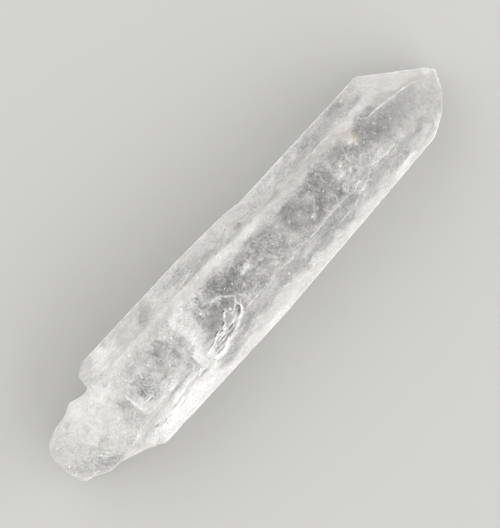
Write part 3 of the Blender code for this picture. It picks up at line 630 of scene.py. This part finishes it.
def torn_share(points):
    """1 along the middle of the torn edge, seen from above, falling to 0 beyond its half width."""
    corners = np.array(TORN_EDGE)
    pieces = zip(corners, corners[1:])
    nearest = np.min([from_piece(points[:, :2], start, end)[0] for start, end in pieces], axis=0)
    uneven = 0.55 + 0.45 * smooth(lumps(points, 1.5, 53, 3), -0.4, 0.4)
    return uneven * smooth(nearest, TORN_HALF_WIDTH * 1.4, TORN_HALF_WIDTH * 0.3)


def near_lines(points, reach):
    """The distance to the nearest line, that line's number and the share along it, seen from above."""
    best = np.full(len(points), reach)
    which = np.full(len(points), -1)
    along = np.zeros(len(points))
    for number, line in enumerate(LINES):
        corners = np.array(line[0]).reshape(-1, 2)
        low, high = corners.min(axis=0) - reach, corners.max(axis=0) + reach
        close = np.nonzero(((points[:, :2] > low) & (points[:, :2] < high)).all(axis=1))[0]
        for step, (start, end) in enumerate(zip(corners, corners[1:])):
            distance, share = from_piece(points[close, :2], start, end)
            nearer = distance < best[close]
            found = close[nearer]
            best[found] = distance[nearer]
            which[found] = number
            along[found] = (step + share[nearer]) / (len(corners) - 1)
    return best, which, along


def line_strength(points):
    """How strongly a crest, above 0, or a gap, below 0, shows at each point, and its half width."""
    distance, which, along = near_lines(wobbled(points, *LINE_WOBBLE), LINE_REACH)
    widths, strengths = (np.array([line[k] for line in LINES] + [1.0])[which] for k in (1, 2))
    widths = widths * (1 + 0.35 * lumps(points, 0.6, 44, 2))
    uneven = 0.45 + 0.55 * smooth(lumps(points, 0.7, 15, 3, 0.7), -0.7, 0.3)
    ends = np.clip(np.sin(np.pi * np.clip(along, 0.04, 0.96)), 0, 1) ** 0.3
    return (which >= 0) * strengths * uneven * ends * np.exp(-((distance / widths) ** 2)), widths


def vertex_table(mesh, field):
    values = np.zeros(len(mesh.vertices) * 3)
    mesh.vertices.foreach_get(field, values)
    return values.reshape(-1, 3)


def place_vertices(mesh, points):
    mesh.vertices.foreach_set("co", points.ravel())
    mesh.update()


def relax(mesh, weight, rounds):
    """Moves each point towards the mean place of its neighbours, by its weight."""
    points = vertex_table(mesh, "co")
    edges = np.zeros(len(mesh.edges) * 2, dtype=np.int32)
    mesh.edges.foreach_get("vertices", edges)
    count = np.bincount(edges, minlength=len(points))
    starts, ends = edges.reshape(-1, 2).T
    for _ in range(rounds):
        total = np.zeros_like(points)
        for axis in range(3):
            total[:, axis] += np.bincount(starts, points[ends, axis], len(points))
            total[:, axis] += np.bincount(ends, points[starts, axis], len(points))
        points += (total / count[:, None] - points) * weight[:, None]
    place_vertices(mesh, points)


class CrystalEdges:
    """The crystal edges of the solid in short steps, in millimetres, for finding what lies near one."""

    def __init__(self, mesh):
        body = bmesh.new()
        body.from_mesh(mesh)
        bmesh.ops.remove_doubles(body, verts=body.verts, dist=1e-7)
        starts, runs, rims = [], [], []
        for edge in body.edges:
            if len(edge.link_faces) == 2 and edge.calc_face_angle(0) > math.radians(SHARP_EDGE):
                start, end = (np.array(vert.co) / MM for vert in edge.verts)
                steps = max(int(np.linalg.norm(end - start) / EDGE_SAMPLE), 1)
                outward = sum((face.normal for face in edge.link_faces), Vector()).normalized()
                starts += [start + (end - start) * i / steps for i in range(steps)]
                runs += [(end - start) / steps] * steps
                # Edges of the outline seen from above are flagged as rims, where the white rim highlight is
                # painted
                outline = abs(start[1]) > OUTLINE_FROM_Y or start[0] > POINT_FROM
                rims += [outline and abs(outward.z) < OUTLINE_LEAN] * steps
        body.free()
        self.starts, self.runs, self.rims = np.array(starts), np.array(runs), np.array(rims, dtype=float)
        self.tree = KDTree(len(starts))
        for index, (start, run) in enumerate(zip(starts, runs)):
            self.tree.insert(start + run / 2, index)
        self.tree.balance()

    def nearest(self, points):
        """For each point: the nearest place on an edge, how far off it is, and 1 if that edge is a rim."""
        found = np.array([self.tree.find(point)[1] for point in points])
        starts, runs = self.starts[found], self.runs[found]
        share = np.sum((points - starts) * runs, axis=1) / np.sum(runs * runs, axis=1)
        places = starts + np.clip(share, 0, 1)[:, None] * runs
        return places, np.linalg.norm(points - places, axis=1), self.rims[found]


class Solid:
    """The CAD solid, in metres, and which of its faces are parts of a rounded or broken surface."""

    def __init__(self, mesh):
        body = bmesh.new()
        body.from_mesh(mesh)
        self.tree = BVHTree.FromBMesh(body)
        small = [face.calc_area() / MM**2 < SMALL_FACE for face in body.faces]
        on_point = [face.calc_center_median().x / MM > POINT_FROM for face in body.faces]
        self.broken = np.array(small) & ~np.array(on_point)
        body.free()

    def settle(self, mesh, everywhere=False):
        """Puts each point on the solid, or only those on its flat faces. Returns which are broken."""
        points = vertex_table(mesh, "co")
        hits = [self.tree.find_nearest(Vector(point)) for point in points]
        broken = self.broken[[hit[2] for hit in hits]]
        chosen = np.full(len(points), True) if everywhere else ~broken
        points[chosen] = np.array([hit[0] for hit in hits])[chosen]
        place_vertices(mesh, points)
        return broken.astype(float)


def sharpen(mesh, edges):
    """Puts the points next to a crystal edge on it, apart from the broken root."""
    points = vertex_table(mesh, "co") / MM
    places, distance, _ = edges.nearest(points)
    chosen = (distance < EDGE_REACH) & (points[:, 0] > ROOT_FROM)
    points[chosen] = places[chosen]
    place_vertices(mesh, points * MM)


def refine(mesh, chosen):
    """Splits each chosen face in four."""
    body = bmesh.new()
    body.from_mesh(mesh)
    body.faces.ensure_lookup_table()
    middles = np.array([face.calc_center_median() for face in body.faces]) / MM
    normals = np.array([face.normal for face in body.faces])
    edges = {edge for index in np.nonzero(chosen(middles, normals))[0] for edge in body.faces[index].edges}
    bmesh.ops.subdivide_edges(body, edges=list(edges), cuts=1, use_grid_fill=True)
    body.to_mesh(mesh)
    body.free()


def keep_largest_shell(mesh):
    """Drops the specks of loose mesh that the remesh can leave where the surface folds."""
    body = bmesh.new()
    body.from_mesh(mesh)
    left = set(body.verts)
    shells = []
    while left:
        shell, front = [], [left.pop()]
        while front:
            vert = front.pop()
            shell.append(vert)
            linked = {edge.other_vert(vert) for edge in vert.link_edges} & left
            left -= linked
            front += linked
        shells.append(shell)
    shells.sort(key=len)
    bmesh.ops.delete(body, geom=[vert for shell in shells[:-1] for vert in shell], context="VERTS")
    body.to_mesh(mesh)
    body.free()


def remeshed(node):
    """An even mesh of the CAD solid, in a new object."""
    mesh = node.data.copy()
    mesh.name = "quartz_body"
    mesh.materials.clear()
    mesh.transform(REMESH_TURN.to_matrix().to_4x4())
    crystal = bpy.data.objects.new("quartz_body", mesh)
    bpy.context.scene.collection.objects.link(crystal)
    remesh = crystal.modifiers.new("remesh", "REMESH")
    remesh.mode = "VOXEL"
    remesh.voxel_size = VOXEL * MM
    depsgraph = bpy.context.evaluated_depsgraph_get()
    even = bpy.data.meshes.new_from_object(crystal.evaluated_get(depsgraph))
    crystal.modifiers.clear()
    crystal.data = even
    even.transform(REMESH_TURN.to_matrix().inverted().to_4x4())
    keep_largest_shell(even)
    return crystal


def fine_crystal(node, edges):
    """The remeshed solid, finer along its edges, its lines and its broken end, and laid on the solid."""
    crystal = remeshed(node)
    mesh = crystal.data
    solid = Solid(node.data)
    broken = solid.settle(mesh, everywhere=True)
    away = smooth(edges.nearest(vertex_table(mesh, "co") / MM)[1], 0.2, 1.2)
    relax(mesh, 0.5 * broken * (0.25 + 0.75 * away), BROKEN_SMOOTHING)

    def first(middles, normals):
        seen = as_seen(middles)
        chip = oval(seen, *CHIP_OVAL) > 0.4
        lined = near_lines(seen, SPLIT_BY_LINE[0])[1] >= 0
        marked = (normals[:, 2] > 0.1) & (chip | lined | (veil_share(seen) > 0))
        root = (middles[:, 0] < ROOT_FROM) & (normals[:, 2] > -0.4)
        return (edges.nearest(middles)[1] < SPLIT_BY_EDGE[0]) | root | marked

    def second(middles, normals):
        lined = near_lines(as_seen(middles), SPLIT_BY_LINE[1])[1] >= 0
        near_edge = (edges.nearest(middles)[1] < SPLIT_BY_EDGE[1]) & (middles[:, 0] > ROOT_FROM)
        return ((normals[:, 2] > 0.1) & lined) | (near_edge & (normals[:, 2] > -0.3))

    for chosen, rounds in ((first, 2), (second, 1)):
        refine(mesh, chosen)
        relax(mesh, np.full(len(mesh.vertices), 0.35), rounds)
        solid.settle(mesh)
    sharpen(mesh, edges)
    mesh.polygons.foreach_set("use_smooth", [True] * len(mesh.polygons))
    return crystal


def relief(points, edge_distance, root):
    """How far each point moves out, for the waves, lumps, pits and nicked edges of the surface."""
    wave = WAVE_HEIGHT * lumps(points, 9.0, 3, 3)
    furrows = ROOT_FURROW_DEPTH * np.abs(lumps(points, 1.2, 6, 3))
    rough = ROOT_LUMP_HEIGHT * lumps(points, 2.6, 5, 4, 0.55) - furrows
    pits = PIT_DEPTH * smooth(lumps(points, 1.1, 7, 2), 0.7, 1.0) * (1 - root)
    nicks = smooth(lumps(points, 1.3, 9, 3), 0.45, 0.95) * (0.45 + 0.4 * root)
    nicked = NICK_DEPTH * np.exp(-((edge_distance / NICK_WIDTH) ** 2)) * nicks
    return (wave + root * rough - pits - nicked - SKIN_INSET) * smooth(points[:, 2], 0.0, 0.4)


def painted_rim_highlight(points, normals, edge_distance, rims, root):
    """How white each point is painted for lying on the crystal's outline: a painted highlight."""
    on_prism = smooth(points[:, 0], -31.0, -28.5)
    rim = RIM_HIGHLIGHT_STRENGTH * rims * on_prism * np.exp(-((edge_distance / RIM_HIGHLIGHT_WIDTH) ** 2))
    sideways = smooth(normals[:, 2], 0.30, 0.12) * smooth(normals[:, 2], -0.12, 0.05)
    return np.maximum(rim, ROOT_RIM_HIGHLIGHT * root * sideways) * (0.75 + 0.25 * lumps(points, 1.6, 47, 3))


def add_attribute(mesh, name, values):
    attribute = mesh.attributes.new(name, "FLOAT", "POINT")
    attribute.data.foreach_set("value", values.astype(np.float32))


def work_surface(mesh, edges, box):
    """Moves the fine mesh's points a little, and stores how milky, white, dark and stained each one is. The
    white holds a painted rim highlight, and the white and dark of the lines are partly painted highlight and
    shade.
    """
    points = vertex_table(mesh, "co") / MM
    normals = vertex_table(mesh, "normal")
    seen = as_seen(points)
    _, edge_distance, rims = edges.nearest(points)
    root = smooth(-points[:, 0], 30.0, 33.0)
    facing_up = smooth(normals[:, 2], -0.15, 0.15)
    strength, widths = line_strength(seen)
    strength = strength * facing_up

    shift = relief(points, edge_distance, root) + LINE_HEIGHT * widths * strength
    place_vertices(mesh, np.clip(points + normals * shift[:, None], *box) * MM)

    # Painted highlight: a white rim along the outline and round the root
    rim = painted_rim_highlight(points, normals, edge_distance, rims, root)
    root_edge = root * smooth(normals[:, 2], 0.8, 0.15) * smooth(normals[:, 2], -0.5, 0.1)
    stain = sum(spot[5] * oval(seen, *spot[:5]) for spot in STAINS) * facing_up
    add_attribute(mesh, "milk", np.clip(milkiness(seen, facing_up) + ROOT_EDGE_MILK * root_edge, 0, 1))
    # White takes the crests, partly a painted highlight, and the painted rim highlight. Dark takes the gaps,
    # partly painted shade
    add_attribute(mesh, "white", np.clip(np.maximum(rim, strength), 0, 1))
    add_attribute(mesh, "dark_and_shade", np.clip(-strength, 0, 1))
    add_attribute(mesh, "stain", np.clip(stain, 0, 1))
    add_attribute(mesh, "busy", busyness(seen))
    add_attribute(mesh, "torn", torn_share(seen) * facing_up * (1 - veil_share(seen)))


def random_turns(count, rng):
    """One random turn for each bit, as a matrix."""
    w, x, y, z = rng.normal(size=(4, count))
    length = np.sqrt(w * w + x * x + y * y + z * z)
    w, x, y, z = w / length, x / length, y / length, z / length
    rows = [
        [1 - 2 * (y * y + z * z), 2 * (x * y - z * w), 2 * (x * z + y * w)],
        [2 * (x * y + z * w), 1 - 2 * (x * x + z * z), 2 * (y * z - x * w)],
        [2 * (x * z - y * w), 2 * (y * z + x * w), 1 - 2 * (x * x + y * y)],
    ]
    return np.array(rows).transpose(2, 0, 1)


TETRA = np.array([(1, 1, 1), (-1, -1, 1), (-1, 1, -1), (1, -1, -1)]) * 0.8
TETRA_FACES = np.array([(0, 1, 3), (0, 2, 1), (0, 3, 2), (1, 2, 3)])


def bits_object(name, centres, sizes, rng, material, box):
    """Tiny closed four-sided flakes, turned every way, and kept inside the solid's box."""
    stretch = rng.uniform(0.35, 1.5, size=(len(centres), 3))
    shapes = TETRA[None] * stretch[:, None] * sizes[:, None, None]
    shapes = np.einsum("nij,nkj->nki", random_turns(len(centres), rng), shapes)
    points = np.clip((shapes + centres[:, None]).reshape(-1, 3), *box)
    faces = (TETRA_FACES[None] + 4 * np.arange(len(centres))[:, None, None]).reshape(-1, 3)
    mesh = bpy.data.meshes.new(name)
    mesh.from_pydata((points * MM).tolist(), [], faces.tolist())
    mesh.materials.append(material)
    made = bpy.data.objects.new(name, mesh)
    bpy.context.scene.collection.objects.link(made)
    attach(made, "root")


def well_inside(points, tree):
    """True for each point that lies deep enough in the crystal, with its skin above and below."""
    kept = []
    for point in map(Vector, points):
        deep_enough = tree.find_nearest(point)[3] > BIT_INSET
        above, below = (tree.ray_cast(point, Vector((0, 0, way)))[1] for way in (1, -1))
        kept.append(deep_enough and above is not None and above.z > 0 and below is not None and below.z < 0)
    return np.array(kept)


def veil_points(veil, rng, seed):
    """Points on a wavy sheet that starts along a line on the top and runs down into the crystal."""
    start, end, down, depth, count = veil
    along, deep = rng.uniform(0, 1, count), rng.uniform(0, 1, count) ** 1.4
    line = np.array(start)[None] * (1 - along[:, None]) + np.array(end)[None] * along[:, None]
    way = np.array(down) / np.linalg.norm(down)
    points = np.column_stack([line, np.full(count, VEIL_TOP_Z)]) + way * (deep * depth)[:, None]
    points = wobbled(points, 4.5, 0.9, seed) + rng.normal(0, VEIL_SPREAD, size=points.shape)
    thick = lumps(points, 2.4, seed + 5, 4, 0.7) + rng.uniform(-0.5, 0.5, count)
    return points[thick > VEIL_THINNEST]


def root_points(rng):
    """Points in clouds all through the root end, thickest at the broken end."""
    x = ROOT_CLOUD_START - ROOT_CLOUD_LENGTH * rng.uniform(0, 1, ROOT_BITS) ** 0.8
    y, z = rng.uniform(-1, 1, size=(2, ROOT_BITS))
    z = MIDDLE_HEIGHT + ROOT_CLOUD_HALF_HEIGHT * z
    points = np.column_stack([x, ROOT_CLOUD_HALF_WIDTH * y, z])
    return points[lumps(points, 3.0, 300, 4, 0.7) > -0.1]


def add_bits(tree, material, box):
    rng = np.random.default_rng(7)
    veils = np.concatenate([veil_points(veil, rng, 200 + 10 * i) for i, veil in enumerate(VEILS)])
    root = root_points(rng)
    loose = rng.uniform(LOOSE_LOW, LOOSE_HIGH, size=(LOOSE_BITS, 3))
    for name, points in (("veil_bits", veils), ("root_bits", root), ("loose_bits", loose)):
        points = points[well_inside(points, tree)]
        sizes = np.clip(BIT_SIZE * rng.lognormal(0, 0.45, len(points)), SMALLEST_BIT, LARGEST_BIT)
        bits_object(name, points, sizes, rng, material, box)


def add_specks(tree, material, box):
    """The larger white specks, each a small heap of flakes in the top side's skin."""
    rng = np.random.default_rng(11)
    centres, sizes = [], []
    for x, y, size, depth in SPECKS:
        above = Vector((x / TOP_SCALE, y / TOP_SCALE, 40))
        place, normal, _, _ = tree.ray_cast(above, Vector((0, 0, -1)))
        middle = np.array(place - normal * depth * 0.1)
        for _ in range(BITS_PER_SPECK):
            centres.append(middle + rng.normal(0, size * 0.2, 3) * (1, 1, 0.15))
            sizes.append(size * rng.uniform(0.15, 0.35))
    bits_object("white_specks", np.array(centres), np.array(sizes), rng, material, box)


class NodeKit:
    """Makes the nodes of one material. Each method returns the output socket to go on from."""

    def __init__(self, material):
        material.use_nodes = True
        self.nodes, self.links = material.node_tree.nodes, material.node_tree.links
        self.shader = self.nodes["Principled BSDF"]
        self.place = self.add("TexCoord").outputs["Object"]

    def add(self, kind):
        return self.nodes.new("ShaderNode" + kind)

    def feed(self, name, source):
        self.links.new(source, self.shader.inputs[name])

    def attribute(self, name):
        made = self.add("Attribute")
        made.attribute_name = name
        return made.outputs["Fac"]

    def noise(self, scale, detail, roughness, distortion=0.0, stretch=(1, 1, 1), turn=0.0):
        laid = self.add("Mapping")
        laid.inputs["Scale"].default_value = stretch
        laid.inputs["Rotation"].default_value = (0, 0, math.radians(turn))
        self.links.new(self.place, laid.inputs["Vector"])
        made = self.add("TexNoise")
        set_inputs(made, Scale=scale, Detail=detail, Roughness=roughness, Distortion=distortion)
        self.links.new(laid.outputs[0], made.inputs["Vector"])
        return made.outputs["Fac"]

    def ranged(self, source, low, high, to_low=0.0, to_high=1.0, curve="SMOOTHSTEP"):
        made = self.add("MapRange")
        made.interpolation_type = curve
        set_inputs(made, From_Min=low, From_Max=high, To_Min=to_low, To_Max=to_high)
        self.links.new(source, made.inputs["Value"])
        return made.outputs["Result"]

    def combined(self, operation, *values):
        made = self.add("Math")
        made.operation = operation
        for socket, value in zip(made.inputs, values):
            if isinstance(value, (int, float)):
                socket.default_value = value
            else:
                self.links.new(value, socket)
        return made.outputs[0]

    def mixed(self, share, first, second):
        """A blend of two colours or sockets, by a share that is a number or a socket."""
        made = self.add("Mix")
        made.data_type = "RGBA"
        if isinstance(share, float):
            made.inputs["Factor"].default_value = share
        else:
            self.links.new(share, made.inputs["Factor"])
        for socket, value in zip(made.inputs[6:8], (first, second)):
            if isinstance(value, tuple):
                socket.default_value = (*value, 1)
            else:
                self.links.new(value, socket)
        return made.outputs[2]


def wisp_pattern(kit):
    """Thin curling fibres, where a noise crosses its middle value, in some places only."""
    noise = kit.noise(420, 6, 0.62, 1.6)
    away_from_half = kit.combined("ABSOLUTE", kit.combined("SUBTRACT", noise, 0.5), 0.0)
    fibres = kit.ranged(away_from_half, 0.0, 0.022, 1.0, 0.0)
    return kit.combined("MULTIPLY", fibres, kit.ranged(kit.noise(230, 3, 0.5), 0.50, 0.66))


def speck_pattern(kit):
    """Small soft specks of several sizes, in one out of five cells about a millimetre across."""
    cells = kit.add("TexVoronoi")
    set_inputs(cells, Scale=1000.0, Randomness=1.0)
    kit.links.new(kit.place, cells.inputs["Vector"])
    parted = kit.add("SeparateColor")
    kit.links.new(cells.outputs["Color"], parted.inputs[0])
    size = kit.ranged(parted.outputs["Red"], 0.80, 1.0, 0.0, 0.20, "LINEAR")
    return kit.ranged(kit.combined("SUBTRACT", size, cells.outputs["Distance"]), 0.0, 0.10)


def quartz_patterns(kit):
    """The patterns that the quartz's cloudiness, colour and bumps share, by name."""
    return {
        "grain": kit.noise(3200, 4, 0.7),
        "clots": kit.noise(850, 5, 0.62, 0.8),
        "streaks": kit.noise(700, 5, 0.65, 0.6, (0.35, 1.6, 1.6), 8),
        "tears": kit.noise(1500, 3, 0.6, 0.5, (0.22, 1.3, 1.3), -8),
        "warmth": kit.noise(170, 2, 0.5),
        "wisps": wisp_pattern(kit),
        "specks": speck_pattern(kit),
    }


def quartz_cloud(kit, patterns):
    """How cloudy each spot is: the stored milkiness, with the patterns and the lines added to it."""
    cloud = kit.attribute("milk")
    for name, share in CLOUD_PATTERNS:
        cloud = kit.combined("MULTIPLY_ADD", patterns[name], share, cloud)
    for name, share in CLOUD_LINES:
        cloud = kit.combined("MULTIPLY_ADD", kit.attribute(name), share, cloud)
    return cloud


def quartz_colour(kit, patterns, cloud):
    """From a dull grey, by way of the mottling, to the torn edge, the tints, the stains and the lines, with
    the painted rim highlight among the lines' white.
    """
    soft_clots = kit.combined("MULTIPLY", patterns["clots"], 0.35)
    crystals = kit.combined("MULTIPLY_ADD", patterns["grain"], 0.65, soft_clots)
    off_middle = kit.combined("SUBTRACT", kit.ranged(crystals, 0.415, 0.585), 0.5)
    mottling = kit.combined("MULTIPLY_ADD", off_middle, kit.attribute("busy"), 0.5)
    dull = kit.mixed(kit.ranged(cloud, 0.6, 1.2), CLEAR_GREY, FROST_GREY)
    tint = kit.mixed(mottling, dull, GRAIN_WHITE)
    wisp_strength = kit.combined("MULTIPLY", kit.attribute("busy"), 0.6)
    tint = kit.mixed(kit.combined("MULTIPLY", patterns["wisps"], wisp_strength), tint, WISP_WHITE)
    torn_streaks = kit.mixed(kit.ranged(patterns["tears"], 0.40, 0.52), TORN_GREY, CREST_AND_HIGHLIGHT_WHITE)
    tint = kit.mixed(kit.combined("MULTIPLY", kit.attribute("torn"), 0.6), tint, torn_streaks)
    tint = kit.mixed(kit.ranged(patterns["warmth"], 0.40, 0.60), tint, kit.mixed(0.5, tint, WARM_WHITE))
    tint = kit.mixed(kit.combined("MULTIPLY", patterns["specks"], 0.7), tint, WISP_WHITE)
    uneven = (patterns["clots"], 0.35, 0.6, 0.35, 1.0)
    tint = kit.mixed(kit.combined("MULTIPLY", kit.attribute("stain"), kit.ranged(*uneven)), tint, STAIN_BROWN)
    # The crests' white, partly a painted highlight, and the painted rim highlight, then the gaps' dark,
    # partly painted shade
    tint = kit.mixed(kit.attribute("white"), tint, CREST_AND_HIGHLIGHT_WHITE)
    return kit.mixed(kit.attribute("dark_and_shade"), tint, GAP_AND_SHADE_GREY)


def add_bumps(kit, patterns):
    fine = kit.combined("MULTIPLY", patterns["grain"], 0.35)
    height = kit.combined("MULTIPLY_ADD", patterns["clots"], 0.8, fine)
    height = kit.combined("MULTIPLY_ADD", patterns["streaks"], 0.5, height)
    bump = kit.add("Bump")
    set_inputs(bump, Strength=BUMP_STRENGTH, Distance=BUMP_HEIGHT)
    kit.links.new(height, bump.inputs["Height"])
    kit.feed("Normal", bump.outputs["Normal"])


def add_haze(kit):
    haze = kit.add("VolumeAbsorption")
    set_inputs(haze, Color=HAZE_COLOUR, Density=HAZE_DENSITY)
    kit.links.new(haze.outputs["Volume"], kit.nodes["Material Output"].inputs["Volume"])


def quartz_material():
    """Glass and frost in one shader, shared out by how cloudy each spot is."""
    quartz = bpy.data.materials.new("milky_quartz")
    kit = NodeKit(quartz)
    set_inputs(kit.shader, IOR=QUARTZ_IOR, Subsurface_Weight=GLOW, Subsurface_Scale=GLOW_DEPTH)
    set_inputs(kit.shader, Subsurface_Radius=(1.0, 1.0, 1.0))
    patterns = quartz_patterns(kit)
    cloud = quartz_cloud(kit, patterns)
    kit.feed("Transmission Weight", kit.ranged(cloud, 0.30, 1.42, 0.80, 0.04, "LINEAR"))
    kit.feed("Base Color", quartz_colour(kit, patterns, cloud))
    kit.feed("Roughness", kit.ranged(cloud, 0.4, 1.3, 0.07, 0.30, "LINEAR"))
    add_bumps(kit, patterns)
    add_haze(kit)
    return quartz


def plain_material(name, colour, roughness):
    made = bpy.data.materials.new(name)
    made.use_nodes = True
    set_inputs(made.node_tree.nodes["Principled BSDF"], Base_Color=(*colour, 1), Roughness=roughness)
    return made


def add_floor():
    mesh = bpy.data.meshes.new("floor")
    corners = [(FLOOR_HALF * x, FLOOR_HALF * y, 0) for x, y in ((-1, -1), (1, -1), (1, 1), (-1, 1))]
    mesh.from_pydata(corners, [], [(0, 1, 2, 3)])
    mesh.materials.append(plain_material("floor_grey", FLOOR_GREY, 0.9))
    floor = bpy.data.objects.new("floor", mesh)
    bpy.context.scene.collection.objects.link(floor)


def add_light(name, place, power):
    """A broad lamp that faces the middle of the crystal's floor."""
    lamp = bpy.data.lights.new(name, "AREA")
    lamp.shape = "RECTANGLE"
    lamp.size, lamp.size_y = LAMP_SIZE
    lamp.energy = power
    made = bpy.data.objects.new(name, lamp)
    bpy.context.scene.collection.objects.link(made)
    made.location = place
    made.rotation_euler = (-Vector(place)).to_track_quat("-Z", "Y").to_euler()


def add_lights():
    world = bpy.data.worlds.new("studio")
    world.use_nodes = True
    set_inputs(world.node_tree.nodes["Background"], Color=(*WORLD_WHITE, 1), Strength=WORLD_STRENGTH)
    bpy.context.scene.world = world
    for lamp in LAMPS:
        add_light(*lamp)


def add_camera():
    """Straight above the crystal, turned so that it lies as in the photograph."""
    camera = bpy.data.cameras.new("camera")
    camera.lens = LENS
    camera.sensor_width = SENSOR
    camera.clip_start = 0.01
    made = bpy.data.objects.new("camera", camera)
    bpy.context.scene.collection.objects.link(made)
    made.location = Vector((*CAMERA_OFFSET_MM, CAMERA_TO_MIDDLE + MIDDLE_HEIGHT)) * MM
    made.rotation_euler = (0, 0, math.radians(CAMERA_ROLL))
    bpy.context.scene.camera = made


def skin_tree(mesh):
    """The crystal's finished surface, in millimetres, for finding what lies inside it."""
    places = [vert.co / MM for vert in mesh.vertices]
    return BVHTree.FromPolygons(places, [tuple(polygon.vertices) for polygon in mesh.polygons])


def add_crystal(node, box):
    """The worked surface, which takes the place of the solid's own mesh. Returns it."""
    edges = CrystalEdges(node.data)
    crystal = fine_crystal(node, edges)
    work_surface(crystal.data, edges, box)
    crystal.data.materials.append(quartz_material())
    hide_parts("quartz_crystal")
    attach(crystal, "root")
    return crystal


def set_view():
    bpy.context.scene.view_settings.view_transform = "Standard"
    bpy.context.scene.cycles.max_bounces = 16
    bpy.context.scene.cycles.transmission_bounces = 16


def main():
    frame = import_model()
    cad_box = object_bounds()
    box = np.array(cad_box) / MM
    crystal = add_crystal(frame["nodes"]["quartz_crystal"], box)
    tree = skin_tree(crystal.data)
    white = plain_material("white_inclusions", INCLUSION_WHITE, 0.5)
    add_bits(tree, white, box)
    add_specks(tree, white, box)
    add_floor()
    add_lights()
    add_camera()
    set_view()


main()
